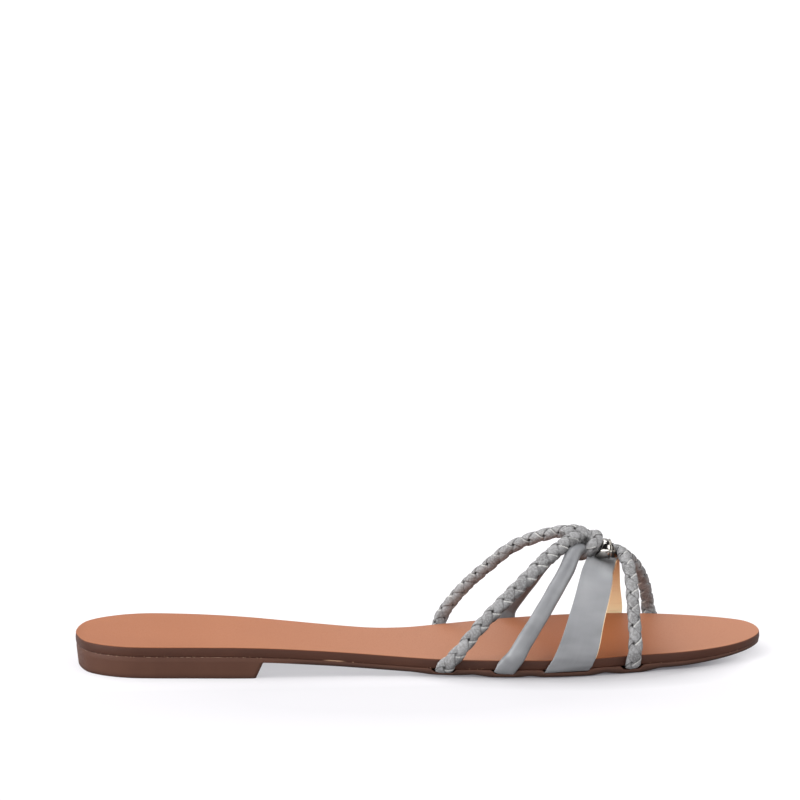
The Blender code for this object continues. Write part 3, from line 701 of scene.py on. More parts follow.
def outsole_half(side):
    """Inset, share and height of half a section, from the middle of the underside round the edge to
    the middle of the top. The top is the underside of the board less a channel over each strap end.
    The underside is lift (1 - m), and m goes from the wave at the edge to the tread."""
    bulge = (wave(X, side, BULGE_MARGIN, BULGE_FALL, "bulge") * tread(X))[:, None]
    channel = wave(X, side, CHANNEL_MARGIN, CHANNEL_FALL, "channel")[:, None]
    into = smoothstep(DEPTHS / CURL_WIDTH)
    low = outsole_lift(X)[:, None] * (1.0 - bulge * (1.0 - into) - tread(X)[:, None] * into)
    still_open = 1.0 - ramp(DEPTHS, CURL_WIDTH, CHANNEL_END)
    high = board_bottom(X)[:, None] - (LAYER_GAP + WAVE_DEPTH) * channel * still_open
    edge_low = outsole_lift(X)[:, None] * (1.0 - bulge)
    corner_inset, corner_drop = rounded_corner(OUTSOLE_CORNER, OUTSOLE_CORNER_STEPS)
    open_edge = ramp(X, HEEL_SEAM_END, CORNER_FULL)[:, None]
    low_corner = edge_low + open_edge * corner_drop[::-1]
    height = np.hstack((low[:, ::-1], low_corner, high[:, :1] - corner_drop, high))
    inward = np.concatenate((np.full(len(DEPTHS), OUTSOLE_CORNER), corner_inset[::-1]))
    around = np.hstack((open_edge * inward, np.broadcast_to(inward[::-1], (len(X), len(inward)))))
    inset = OUTSOLE_INSET - WAVE_BULGE * bulge + around
    width = sole_width(X)[:, None]
    depth_share = DEPTHS * np.minimum(1.0, width / CROWDED_WIDTH) / np.maximum(width, LEAST_WIDTH)
    at_edge = np.zeros((len(X), 2 * OUTSOLE_CORNER_STEPS))
    return inset, np.hstack((depth_share[:, ::-1], at_edge, depth_share)), height


def within(column, span):
    """Whether a column lies in a span, both ends included."""
    return (column >= span[0]) & (column <= span[1])


def make_outsole():
    """Both halves joined to one closed section, the inner half walked backwards."""
    outer_inset, outer_share, outer_height = outsole_half("outer")
    inner_inset, inner_share, inner_height = outsole_half("inner")
    inset = np.hstack((outer_inset, inner_inset[:, ::-1]))
    share = np.hstack((outer_share, 1.0 - inner_share[:, ::-1]))
    height = np.hstack((outer_height, inner_height[:, ::-1]))
    number = np.arange(share.shape[1])
    column = np.minimum(number, number[::-1])
    seam = (X < HEEL_SEAM_END)[:, None] * within(column, SEAM_COLUMNS)
    low_edge = ramp(X, HEEL_SEAM_END, EDGE_FULL)[:, None] * within(column, LOW_EDGE_COLUMNS)
    masks = {"seam": seam, "low_edge": low_edge}
    piece = put_in_mesh("outsole_sheet", sole_grid(X, share, inset, height), masks)
    dress(piece, SOLE, "outsole")


make_outsole()

# %% [markdown]
# ## The heel
#
# A low block of the same leather carries the back of the outsole. It is trimmed flush with the
# outsole, draws in a little towards the floor, and has a slanted breast. Its rows are levels from
# top to bottom and its columns run once round the outline. Its corners are quarter circles that are
# added to the inset, because a Bevel modifier would also cut the top edge, which has to stay flush.

# %% Heel piece
BREAST_TOP, BREAST_BOTTOM = 66.5, 64.0
HEEL_INSET_TOP, HEEL_INSET_BOTTOM = 0.32, 0.95
HEEL_LEVELS, HEEL_COLUMNS = 10, 101
HEEL_CORNER, HEEL_CORNER_STEPS, BREAST_CORNER = 0.35, 5, 1.6
# The lowest quarter of the block is darker, with painted shade
HEEL_SHADE, HEEL_SHADE_TOP = 0.5, 0.25


def make_heel():
    """x is a share of the way to the breast, crowded at both ends as (1 - cos) / 2. Breast and inset
    change by a straight line from top to bottom, and quarter circles round the corners."""
    share = (1.0 - np.cos(np.linspace(0.0, np.pi, HEEL_COLUMNS))) / 2.0
    corner_inset, corner_drop = rounded_corner(HEEL_CORNER, HEEL_CORNER_STEPS)
    levels = np.linspace(1.0, 0.0, HEEL_LEVELS, endpoint=False)
    extra = np.concatenate((np.zeros(HEEL_LEVELS), corner_inset))[:, None]
    taper = np.concatenate((levels, np.zeros(HEEL_CORNER_STEPS)))[:, None]
    breast = BREAST_BOTTOM + (BREAST_TOP - BREAST_BOTTOM) * taper
    x = share * (breast - extra)
    near_breast = np.clip((x - breast + BREAST_CORNER) / BREAST_CORNER, 0.0, 1.0)
    rounding = BREAST_CORNER * (1.0 - np.sqrt(1.0 - near_breast**2))
    inset = HEEL_INSET_BOTTOM + (HEEL_INSET_TOP - HEEL_INSET_BOTTOM) * taper + extra + rounding
    outer, inner = edge_at(x, "outer", inset), edge_at(x, "inner", inset)
    plan = np.concatenate((outer, inner[:, ::-1][:, :-1]), axis=1)
    top = outsole_lift(plan[:1, :, 0]) + TOUCH
    wall = HEEL_CORNER + (top - HEEL_CORNER) * levels[:, None]
    corner = np.broadcast_to(corner_drop[:, None], (HEEL_CORNER_STEPS, wall.shape[1]))
    grid = np.dstack((plan, np.vstack((wall, corner))))
    masks = {"seam": 0.0, "low_edge": HEEL_SHADE * ramp(taper, HEEL_SHADE_TOP, 0.0)}
    piece = put_in_mesh("heel_block", grid, masks, caps=True, sharp_degrees=50.0)
    dress(piece, SOLE, "heel")


make_heel()

# %% [markdown]
# ## Routes of the straps
#
# Each strap is a curve in space with a direction that points away from the foot. The route begins
# inside the knot, runs down over the foot to the edge of the board, wraps round that edge and ends
# as a flat tail between board and outsole. Its frame has a tangent, an outward normal and a
# sideways direction, so any section can be carried along it.

# %% Route tables
REAR_OUTER_ROUTE = (
    # x, y, z
    (183.8, -1.4, 40.4),
    (182.0, -4.1, 43.2),
    (179.8, -6.2, 43.8),
    (177.0, -8.8, 42.8),
    (169.6, -15.5, 38.8),
    (161.3, -23.2, 32.8),
    (152.1, -29.3, 25.6),
    (143.5, -33.8, 18.1),
    (135.0, -37.3, 8.9),
)
REAR_INNER_ROUTE = (
    (186.0, -2.6, 40.6),
    (185.6, -2.4, 43.0),
    (183.2, 1.0, 44.8),
    (180.0, 5.0, 44.7),
    (171.4, 10.2, 42.4),
    (160.6, 16.0, 37.2),
    (151.6, 21.5, 28.8),
    (143.7, 25.8, 20.6),
    (137.6, 28.6, 12.6),
    (135.2, 29.5, 8.4),
)
ROLLED_OUTER_ROUTE = (
    (184.0, -4.0, 39.2),
    (180.3, -9.7, 40.1),
    (175.6, -20.0, 34.9),
    (169.9, -28.4, 28.1),
    (164.3, -34.8, 20.9),
    (158.6, -38.8, 13.2),
    (155.5, -40.4, 8.4),
)
ROLLED_INNER_ROUTE = (
    (184.6, 3.2, 40.2),
    (180.5, 9.5, 38.5),
    (176.2, 16.0, 35.0),
    (172.9, 22.5, 30.1),
    (168.9, 29.8, 22.5),
    (164.8, 35.2, 15.2),
    (160.9, 38.3, 8.8),
)
BIGHT_ROUTE = (
    (182.2, -4.6, 37.4),
    (183.6, -5.8, 37.9),
    (185.1, -6.6, 38.7),
    (186.4, -7.0, 40.5),
    (187.8, -5.4, 42.3),
    (188.9, -1.0, 43.5),
    (187.8, 3.0, 42.8),
    (186.2, 5.4, 40.4),
    (184.4, 4.6, 38.8),
)
# A turn of cord laid over the top of the knot, in front of the inner rear braid
TURN_ROUTE = (
    (176.8, -2.2, 44.1),
    (178.8, -0.8, 45.2),
    (181.2, 0.0, 45.5),
    (183.5, 0.0, 45.1),
    (185.1, -1.0, 43.9),
    (185.0, -2.0, 42.7),
)
FRONT_OUTER_ROUTE = (
    (184.5, -1.9, 39.8),
    (189.5, -1.8, 39.3),
    (193.4, -1.7, 38.9),
    (196.7, -2.3, 38.3),
    (198.2, -7.2, 37.3),
    (198.7, -12.5, 35.8),
    (199.1, -18.0, 32.8),
    (198.8, -27.8, 23.0),
    (198.9, -33.8, 11.4),
    (198.6, -35.0, 7.9),
)
FRONT_INNER_ROUTE = (
    (184.5, 1.9, 39.8),
    (189.5, 1.8, 39.3),
    (193.4, 1.7, 38.9),
    (196.5, 2.3, 38.1),
    (198.7, 7.0, 36.2),
    (200.8, 12.0, 34.1),
    (203.9, 18.0, 31.1),
    (207.7, 25.5, 26.2),
    (211.3, 33.5, 19.2),
    (213.7, 40.0, 11.2),
    (214.2, 41.6, 7.9),
)
# Way of every strap end round the board: distance inside its edge, height above its underside, and
# how far the outer face of the strap has turned down
FOOT_WAY = (
    # inside, height, turn
    (-1.70, 2.30, 0.00),
    (-1.45, 0.90, 0.20),
    (-0.75, -0.25, 0.70),
    (0.80, -0.62, 1.00),
    (6.40, -0.65, 1.00),
)
# The band is thinner, so it turns in higher than the cords
BAND_FOOT_WAY = (
    (-1.70, 2.60, 0.00),
    (-1.52, 1.50, 0.15),
    (-1.12, 0.55, 0.42),
    (-0.45, -0.12, 0.70),
    (0.70, -0.44, 1.00),
    (6.40, -0.46, 1.00),
)
print("the outer rear route has", len(REAR_OUTER_ROUTE), "rows above the sole")

# %% Frames along a route
ARCH_AXIS_Y, ARCH_AXIS_Z = 1.0, 8.0
UP = np.array((0.0, 0.0, 1.0))


def outward(points):
    """Direction from the middle of the foot tunnel to each point, across the sandal."""
    away = points - np.array((0.0, ARCH_AXIS_Y, ARCH_AXIS_Z))
    return unit(away * np.array((0.0, 1.0, 1.0)))


def foot_rows(side, strap):
    """Strap end round the board: edge + inside * inward + height * up, with its face turning down.
    The place on the edge moves to the toe by lean * height, as the strap comes in on a slant."""
    x, _, _, lean, _ = FEET[side][strap]
    way = BAND_FOOT_WAY if strap == "band" else FOOT_WAY
    inside, height, turn = (column[:, None] for column in np.array(way).T)
    at = x + lean * (height - height[-1]).ravel()
    edge, beyond = (edge_at(at, side, inset) for inset in (0.0, 1.0))
    level = np.zeros_like(height)
    inward = np.hstack((beyond - edge, level))
    start = np.hstack((edge, level + board_bottom(x)))
    return np.hstack((start + inside * inward + height * UP, unit(-inward * (1.0 - turn) - UP * turn)))


def with_outward(route):
    """Rows of a route, each with its outward direction."""
    route = np.array(route)
    return np.hstack((route, outward(route)))


def strap_rows(route, side, strap):
    """Rows of a route and of the strap end that follows it."""
    return np.vstack((with_outward(route), foot_rows(side, strap)))


def frames_along(rows, step):
    """Even steps along the curve. The normal is the outward direction less its part along the
    tangent, and the third direction is tangent x normal."""
    dense = curve_through(rows, per_span=80)
    length = np.concatenate(([0.0], np.cumsum(np.linalg.norm(np.diff(dense[:, :3], axis=0), axis=1))))
    places = np.linspace(0.0, length[-1], int(round(length[-1] / step)) + 1)
    at = np.column_stack([np.interp(places, length, dense[:, k]) for k in range(6)])
    tangent = unit(np.gradient(at[:, :3], axis=0))
    normal = unit(at[:, 3:] - tangent * np.sum(at[:, 3:] * tangent, axis=1, keepdims=True))
    return places, at[:, :3], normal, np.cross(tangent, normal)


def carried(points, normal, across, outwards, sideways):
    """Section offsets carried along a path: P + outwards * normal + sideways * across."""
    lifted = points[:, None] + outwards[..., None] * normal[:, None]
    return lifted + sideways[..., None] * across[:, None]


length = frames_along(strap_rows(REAR_OUTER_ROUTE, "outer", "rear"), 1.0)[0][-1]
print("the outer rear cord is", round(length, 1), "mm long")

# %% [markdown]
# ## The braided cords
#
# The braids are round plaits of four flat strips: two wind to the left and two to the right, and
# they take turns on top. Seen from any side that makes two columns of leaves meeting in a zigzag.
# Strips could be modelled one by one, but a height added to a round cord gives the same surface.
# For each hand the position across a strip is t, from -1 to 1. The strip is crowned as 1 - t^4 and
# falls steeply at its edges. Strips are numbered, and where the sum of two numbers is even the left
# hand lies on top. Painted shade darkens the grooves between strips and the side of a cord that
# lies on the foot.

# %% Braid finish
BRAID, tree, shader, coords = new_finish("braided_grey_leather")
grain = grain_on(tree, coords, 3200.0, 160.0)
leaf = mix_colours(tree, mask(tree, "tone"), linear(101, 100, 101), linear(125, 124, 125))
drifted = mix_colours(tree, product(tree, grain["Drift"], 0.5), leaf, linear(107, 106, 105))
mottle = spread(tree, noise(tree, coords["Object"], 1300.0, 3.0, 0.6), 0.42, 0.60, 0.0, 0.65)
worn = mix_colours(tree, mottle, drifted, linear(148, 148, 149))
uneven = spread(tree, noise(tree, coords["Object"], 420.0, 2.0, 0.5), 0.35, 0.65, 0.35, 1.0)
# Painted shade in the grooves between strips, in the hollow of the knot and on the side on the foot
shade_line = product(tree, mask(tree, "groove_shade"), uneven)
groove_shaded = mix_colours(tree, shade_line, worn, linear(32, 30, 29))
speckled = spread(tree, grain["Height"], 0.25, 0.7, 0.25, 0.9)
raw = product(tree, mask(tree, "raw_edge"), speckled)
cut_pale = mix_colours(tree, raw, groove_shaded, linear(200, 199, 194))
wire(tree, shader, cut_pale, spread(tree, grain["Height"], 0.2, 0.9, 0.55, 0.42), specular=0.4)
crumple = product(tree, noise(tree, coords["Object"], 750.0, 3.0, 0.6), 2.2)
relief = total(tree, crumple, product(tree, grain["Height"], 0.5))
raise_surface(tree, shader, relief, 0.08, 0.6)
print("finish:", BRAID.name)

# %% Height of a plait
BRAID_RADIUS = 2.05
BRAID_PITCH = 6.4
PLAIT_CROWN, PLAIT_LIFT = 0.26, 0.32
STRIP_EDGE, EDGE_START = 0.62, 0.72
PLAIT_MEAN = 0.26
# Unevenness along the plait: its size, and the mm for each radian of its sine
UNEVEN_PITCH, PITCH_WAVE = 0.05, 5.3
UNEVEN_TURN, TURN_WAVE = 0.04, 3.9
LEAF_STEP, COLUMN_STEP, SCATTER_SIZE = 12.9898, 78.233, 43758.5453
# Right-hand strips are counted from here for their tones, so that they differ from the left
RIGHT_HAND = 50.0
# Painted shade where two strips are nearly level, and near the edges of the strip on top
CROSSING_REACH, CROSSING_DARK = 0.26, 0.9
GROOVE_START, GROOVE_FULL = 0.66, 0.84
# The pale cut edge of a left-hand strip: its places across the strip, and the tones that show it
CUT_START, CUT_FULL, CUT_FADE, CUT_END = 0.50, 0.58, 0.68, 0.74
RAW_LEAST, RAW_MOST = -0.25, 0.45


def scatter(leaf, column):
    """A number from 0 to 1 for each leaf: the fraction of a large sine, the same on every run."""
    value = np.sin(LEAF_STEP * leaf + COLUMN_STEP * column) * SCATTER_SIZE
    return value - np.floor(value)


def strip_height(t, along, over):
    """Crown c (1 - t^4) across a strip, a steep fall at its edges, and a rise or a dip of
    l (1 - along^2) where it passes over or under another strip."""
    edge = STRIP_EDGE * ramp(np.abs(t), EDGE_START, 1.0)
    return PLAIT_CROWN * (1.0 - t**4) - edge + over * PLAIT_LIFT * (1.0 - along**2)


def plait(places, angle, turn, start):
    """Height and masks of a plait. A strip of each hand has the phase s / pitch -+ angle / half turn.
    The nearest whole number names the strip, and twice the rest is the place t across it. Hands
    take turns on top where the sum of both numbers is even or odd, and the higher strip shows."""
    at = places[:, None]
    swing = (angle - turn) / np.pi + UNEVEN_TURN * np.sin(at / TURN_WAVE + turn)
    forward = start + at / BRAID_PITCH + UNEVEN_PITCH * np.sin(at / PITCH_WAVE + 2.0 * turn)
    left_phase, right_phase = forward - swing, forward + swing
    left_strip, right_strip = np.round(left_phase), np.round(right_phase)
    left_t, right_t = 2.0 * (left_phase - left_strip), 2.0 * (right_phase - right_strip)
    left_over = 1.0 - 2.0 * ((left_strip + right_strip) % 2.0)
    left = strip_height(left_t, right_t, left_over)
    right = strip_height(right_t, left_t, -left_over)
    left_shows = left > right
    height = np.maximum(left, right)
    left_tone = scatter(left_strip, np.round((right_phase - left_strip) / 2.0))
    right_tone = scatter(right_strip + RIGHT_HAND, np.round((left_phase - right_strip - 1.0) / 2.0))
    tone = np.where(left_shows, left_tone, right_tone)
    shown_t = np.abs(np.where(left_shows, left_t, right_t))
    crossing = 1.0 - ramp(np.abs(left - right), 0.0, CROSSING_REACH)
    groove_shade = np.maximum(CROSSING_DARK * crossing, ramp(shown_t, GROOVE_START, GROOVE_FULL))
    cut = ramp(-left_t, CUT_START, CUT_FULL) * (1.0 - ramp(-left_t, CUT_FADE, CUT_END))
    raw_edge = cut * left_shows * (left_over > 0) * ramp(tone, RAW_LEAST, RAW_MOST)
    return height - PLAIT_MEAN, {"tone": tone, "groove_shade": groove_shade, "raw_edge": raw_edge}


sample_height, _ = plait(np.linspace(0.0, 64.0, 400), np.linspace(-np.pi, np.pi, 60), 0.0, 0.0)
print("plait relief from", sample_height.min().round(2), "to", sample_height.max().round(2), "mm")
print("mean of the relief:", sample_height.mean().round(3), "mm")

# %% Braided pieces
BRAID_STEP = 0.15
BRAID_COLUMNS = 64
# A cord is pressed flat towards its tail: shares of its round radius at distances from its end
FOOT_FLATTENING = (
    # distance, thickness share, width share
    (0.0, 0.17, 0.80),
    (5.2, 0.17, 0.84),
    (6.2, 0.30, 1.00),
    (7.2, 0.46, 1.18),
    (8.4, 0.58, 1.27),
    (10.0, 0.68, 1.25),
    (14.0, 0.88, 1.13),
    (20.0, 1.00, 1.04),
)
# The outer rear braid is spread wide over the instep, and the ring squeezes the front braids
INSTEP_SPREAD = (
    # distance from the knot, share of the round width
    (1.0, 0.90),
    (7.0, 1.26),
    (34.0, 1.22),
    (48.0, 1.12),
    (62.0, 1.04),
)
RING_SQUEEZE = (
    # distance from the knot, share of the radius
    (13.5, 0.84),
    (20.0, 1.00),
)
EVEN = ((0.0, 1.0),)
# Painted shade in the hollow of the knot, where three cords meet: its deepest point, its reach,
# and a tone over 1, so that it stays dark where the grooves fade
HOLLOW, HOLLOW_REACH, HOLLOW_DARK = (184.4, -5.2, 43.3), 1.6, 1.7
# How dark the painted shade on the side on the foot is, and how many degrees that side is turned
USUAL_SHADE = 0.12, 0.0
FOOT_SIDE_HALF, FOOT_SIDE_SLOPE = 0.5, 1.2
STRAP_SHARP = 60.0


def shares_along(places, table):
    """Share at each place, from a table of distances and shares."""
    distance, share = np.array(table).T
    return np.interp(places, distance, share)[:, None]


def flattening(places):
    """Thickness share and width share at each place, by its distance from the tail."""
    distance, thick, wide = np.array(FOOT_FLATTENING).T
    from_tail = places[-1] - places
    return np.interp(from_tail, distance, thick)[:, None], np.interp(from_tail, distance, wide)[:, None]


def foot_side(angle):
    """Painted shade: 1 on the side of a cord that lies on the foot, 0 on its outer side, by the
    cosine between.
    """
    return smoothstep(FOOT_SIDE_HALF - FOOT_SIDE_SLOPE * np.cos(angle))


def hollow_shade(grid):
    """Painted shade in the hollow of the knot, a flat-topped bell around its deepest point."""
    away = np.linalg.norm(grid - np.array(HOLLOW), axis=-1)
    return HOLLOW_DARK * np.exp(-((away / HOLLOW_REACH) ** 4))


def put_strap(name, grid, masks, finish):
    """One strap of the upper, closed at both ends, in its finish."""
    piece = put_in_mesh(name, grid, masks, caps=True, sharp_degrees=STRAP_SHARP)
    dress(piece, finish, "upper")


def make_braid(name, rows, turn, start=0.0, pressed=True, size=EVEN, spread_out=EVEN, shade=USUAL_SHADE):
    """A plait carried along its route: the radius plus the plait height, pressed flat at the tail.
    The turn says which way its columns of leaves face, the start which part of a leaf is first, and
    the shade how dark the painted shade on the side on the foot is and how far that side is turned."""
    places, points, normal, across = frames_along(rows, BRAID_STEP)
    angle = np.linspace(-np.pi, np.pi, BRAID_COLUMNS, endpoint=False)
    thick, wide = flattening(places) if pressed else (np.ones((1, 1)), np.ones((1, 1)))
    height, masks = plait(places, angle, np.radians(turn), start)
    radius = (BRAID_RADIUS + height * thick**0.5) * shares_along(places, size)
    wide = wide * shares_along(places, spread_out)
    grid = carried(points, normal, across, radius * thick * np.cos(angle), radius * wide * np.sin(angle))
    dark, dark_turn = shade
    in_shade = np.maximum(dark * foot_side(angle - np.radians(dark_turn)), hollow_shade(grid))
    masks["groove_shade"] = np.maximum(masks["groove_shade"], in_shade)
    put_strap(name, grid, masks, BRAID)


rear_outer = strap_rows(REAR_OUTER_ROUTE, "outer", "rear")
make_braid("braid_rear_outer", rear_outer, -82.0, start=0.5, spread_out=INSTEP_SPREAD, shade=(0.8, 45.0))
make_braid("braid_rear_inner", strap_rows(REAR_INNER_ROUTE, "inner", "rear"), 70.0)
front_outer = strap_rows(FRONT_OUTER_ROUTE, "outer", "front")
make_braid("braid_front_outer", front_outer, -60.0, size=RING_SQUEEZE, shade=(0.45, 40.0))
front_inner = strap_rows(FRONT_INNER_ROUTE, "inner", "front")
make_braid("braid_front_inner", front_inner, 40.0, size=RING_SQUEEZE, shade=(0.33, 0.0))

# %% [markdown]
# ## The knot
#
# On the toe side of the knot one cord turns back over the others in a bight, and a short turn lies
# over the top. Both are the same plait on short routes. The place where all the cords press together
# is closed by a heart of wound turns, which is seen only through the gaps: an egg whose radius ripples
# as a cord wound round it, dark all over with painted shade. The hollow between bight and turn and
# the underside of the bight are darkened with painted shade.

# %% Bight and heart of the knot
BIGHT_SIZE = (
    # distance along the bight, share of the radius
    (0.0, 0.85),
    (5.5, 1.00),
    (10.0, 1.08),
)
HEART_CENTRE = np.array((186.0, 0.0, 38.9))
HEART_RADII = np.array((3.5, 4.7, 4.0))
HEART_TURNS, HEART_RIPPLE = 4.0, 0.07
HEART_ROWS, HEART_COLUMNS = 49, 72
# The heart is dark all over with painted shade, darkest in its furrows
HEART_TONE, RIDGE_DARK, FURROW_DARK = 0.3, 0.6, 1.0


def make_heart():
    """Egg of radii (a, b, c) that ripples as cos(latitude) cos(2 turns latitude + longitude)."""
    latitude = np.linspace(-np.pi / 2, np.pi / 2, HEART_ROWS)[:, None]
    longitude = np.linspace(-np.pi, np.pi, HEART_COLUMNS, endpoint=False)
    ripple = 1.0 + HEART_RIPPLE * np.cos(latitude) * np.cos(2.0 * HEART_TURNS * latitude + longitude)
    around = np.dstack(
        (
            ripple * np.cos(latitude) * np.cos(longitude),
            ripple * np.sin(latitude) + 0.0 * longitude,
            ripple * np.cos(latitude) * np.sin(longitude),
        )
    )
    groove_shade = np.where(ripple < 1.0, FURROW_DARK, RIDGE_DARK)
    masks = {"tone": HEART_TONE, "groove_shade": groove_shade, "raw_edge": 0.0}
    grid = HEART_CENTRE + HEART_RADII * around
    piece = put_in_mesh("knot_heart", grid, masks, sharp_degrees=STRAP_SHARP)
    dress(piece, BRAID, "upper")


bight = with_outward(BIGHT_ROUTE)
# The underside of the bight is darkened with strong painted shade
make_braid("knot_bight", bight, 0.0, pressed=False, size=BIGHT_SIZE, shade=(0.93, 0.0))
make_braid("knot_turn", with_outward(TURN_ROUTE), -40.0, start=0.3, pressed=False)
make_heart()

# %% [markdown]
# ## The rolled cords
#
# Between braid and band runs a smooth cord: a strip of the same grey leather rolled round a core and
# glued along its underside. Its surface is satin, with faint streaks along it, small unevenness from
# the core and a seam on the side of the foot. The section is an ellipse with a narrow groove at the
# seam, and the radius drifts by a sum of slow sines. The cord is thinner near the knot. Its grey is
# darkened all over with painted shade, and the side of the foot still more.

# %% Smooth strap finish
SMOOTH, tree, shader, coords = new_finish("smooth_grey_leather")
grain = grain_on(tree, coords, 4200.0, 120.0)
streak = streaks_on(tree, coords, 70.0, 850.0)
pale = mix_colours(tree, grain["Drift"], linear(131, 132, 135), linear(125, 126, 129))
# Painted shade darkens the grey: the band towards its feet, and the rolled cords all over
shaded_grey = mix_colours(tree, mask(tree, "painted_shade"), pale, linear(103, 104, 107))
# Painted light makes the band paler under the ring, on its toe side
painted_light = mix_colours(tree, mask(tree, "painted_light"), shaded_grey, linear(170, 171, 174))
wrinkle = streaks_on(tree, coords, 120.0, 70.0)
broad = mix_colours(tree, product(tree, wrinkle, 0.42), painted_light, linear(146, 147, 150))
streaked = mix_colours(tree, product(tree, streak, 0.12), broad, linear(140, 141, 144))
seam_and_shade = mix_colours(tree, mask(tree, "seam"), streaked, linear(68, 66, 66))
wire(tree, shader, seam_and_shade, spread(tree, streak, 0.0, 1.0, 0.34, 0.46))
relief = total(tree, product(tree, grain["Height"], 0.35), streak)
relief = total(tree, relief, product(tree, wrinkle, 14.0))
raise_surface(tree, shader, relief, 0.02, 0.25)
print("finish:", SMOOTH.name)

# %% Rolled pieces
ROLLED_RADIUS = 2.6
ROLLED_WIDER, ROLLED_THINNER = 1.17, 0.92
ROLLED_FOOT_SHARE = 0.6
ROLLED_STEP = 0.4
ROLLED_COLUMNS = 64
TAIL_HALF_THICK = 0.36
SEAM_DEPTH, SEAM_HALF_ANGLE = 0.10, 0.07
UNEVEN = 0.018
# Sines of the drift: the mm for each radian of the long one, its twist and the short one
LONG_WAVE, TWIST_WAVE, SHORT_WAVE, SHORT_SHARE = 3.1, 9.0, 1.7, 0.6
ROLLED_SIZE = (
    # distance from the knot, share of the radius
    (4.0, 0.90),
    (16.0, 0.92),
    (48.0, 0.94),
    (57.0, 1.00),
)


def make_rolled(name, rows, phase, seam_turn, shade, shade_turn):
    """Ellipse carried along the route: r (1 + slow sines along and around) less a bell-shaped groove
    at the seam. The shade says how dark the painted shade on the side of the foot is, and its turn
    where that side lies."""
    places, points, normal, across = frames_along(rows, ROLLED_STEP)
    angle = np.linspace(-np.pi, np.pi, ROLLED_COLUMNS, endpoint=False)
    thick, wide = flattening(places)
    thick = np.maximum(thick * ROLLED_THINNER, TAIL_HALF_THICK / ROLLED_RADIUS)
    wide = ROLLED_WIDER * (1.0 + (wide - 1.0) * ROLLED_FOOT_SHARE)
    at = places[:, None]
    drift = np.sin(at / LONG_WAVE + phase) * np.cos(angle + at / TWIST_WAVE)
    drift = drift + SHORT_SHARE * np.sin(at / SHORT_WAVE + 2.0 * angle)
    from_seam = (angle - np.radians(seam_turn) + np.pi) % (2.0 * np.pi) - np.pi
    seam = np.exp(-((from_seam / SEAM_HALF_ANGLE) ** 2))
    size = ROLLED_RADIUS * shares_along(places, ROLLED_SIZE)
    radius = size * (1.0 + UNEVEN * drift) - SEAM_DEPTH * seam
    foot_shade = shade * foot_side(angle - np.radians(shade_turn))
    outwards = radius * thick * np.cos(angle)
    sideways = radius * wide * np.sin(angle)
    grid = carried(points, normal, across, outwards, sideways)
    # Painted shade: the seam mask also darkens the side of the foot, and the whole cord is darkened
    masks = {"seam": np.maximum(seam, foot_shade), "painted_shade": 1.0, "painted_light": 0.0}
    put_strap(name, grid, masks, SMOOTH)


make_rolled("rolled_outer", strap_rows(ROLLED_OUTER_ROUTE, "outer", "rolled"), 0.4, 180.0, 0.7, 25.0)
make_rolled("rolled_inner", strap_rows(ROLLED_INNER_ROUTE, "inner", "rolled"), 2.1, 100.0, 0.5, 0.0)

# %% [markdown]
# ## The flat band
#
# One flat strap runs right over the foot below the knot. Its grey face is folded over at the long
# edges and backed with natural leather, which shows inside the arch and as a thin pale line along
# the front edge. Face and lining are two shells on one route. Their sections are rounded oblongs,
# and the face is crowned a little, as stretched leather is. Painted light makes the face paler under
# the ring, painted shade darkens it towards its feet, and painted shade darkens the lining at its top.

# %% Lining finish
LINING, tree, shader, coords = new_finish("natural_lining_leather")
grain = grain_on(tree, coords, 2400.0, 80.0)
crease = streaks_on(tree, coords, 1500.0, 110.0)
cream = mix_colours(tree, grain["Drift"], linear(255, 232, 190), linear(252, 224, 178))
# Painted shade makes the lining darker and golden towards its top, under the knot
golden = mix_colours(tree, mask(tree, "painted_shade"), cream, linear(206, 164, 122))
creased = spread(tree, crease, 0.0, 0.35, 0.35, 0.0)
lined = mix_colours(tree, creased, golden, linear(222, 180, 130))
wire(tree, shader, lined, spread(tree, grain["Height"], 0.2, 0.9, 0.62, 0.5))
raise_surface(tree, shader, crease, 0.05, 0.5)
print("finish:", LINING.name)

# %% Band pieces
BAND_ROUTE = (
    # x, y, z
    (176.2, -39.8, 7.6),
    (177.9, -38.7, 11.8),
    (181.0, -33.4, 20.2),
    (183.2, -28.4, 25.0),
    (185.4, -21.8, 29.2),
    (187.5, -14.0, 32.1),
    (189.6, -6.0, 33.2),
    (191.0, 1.0, 33.4),
    (192.6, 9.0, 33.2),
    (193.8, 18.0, 31.8),
    (194.8, 28.4, 26.6),
    (195.6, 37.8, 17.2),
    (196.2, 42.3, 8.4),
)
BAND_WIDTHS = (
    # fraction of the length, half width
    (0.00, 7.2),
    (0.05, 8.2),
    (0.09, 7.7),
    (0.13, 7.3),
    (0.20, 6.6),
    (0.34, 6.0),
    (0.46, 5.0),
    (0.56, 5.0),
    (0.70, 6.0),
    (0.82, 6.9),
    (0.93, 7.9),
    (1.00, 7.6),
)
BAND_HALF_THICK = 0.8
BAND_THIN_END, BAND_FULL_START = 5.0, 14.0
BAND_STEP = 0.45
BAND_COLUMNS, BAND_CORNERS = 96, 5.0
BAND_CROWN = 0.14
BAND_TILT, TILT_PLACE, TILT_REACH = 4.4, 0.42, 0.13
EDGE_DROP, DROP_START = 0.14, 0.6
# Middle and half thickness of face and lining, as shares of the half thickness of the band
FACE_MIDDLE, FACE_HALF = 0.48, 0.56
LINING_MIDDLE, LINING_HALF = -0.5, 0.45
# Millimetres by which each side of the lining is narrower than the face
LINING_NARROWER = 0.1
# The face and the lining lie a little to the toe of the route, the lining more than the face
FACE_SHIFT, LINING_SHIFT = 0.25, 0.65
# Heights between which painted shade on the face of the band goes from none to full
SHADE_FROM, SHADE_TO = 31.0, 8.0
# Heights and places across between which painted light makes the toe side of the face paler under
# the ring
LIGHT_START, LIGHT_FULL, LIGHT_SHARE = 29.5, 32.5, 0.7
LIGHT_SIDE_START, LIGHT_SIDE_FULL = -0.3, 0.5


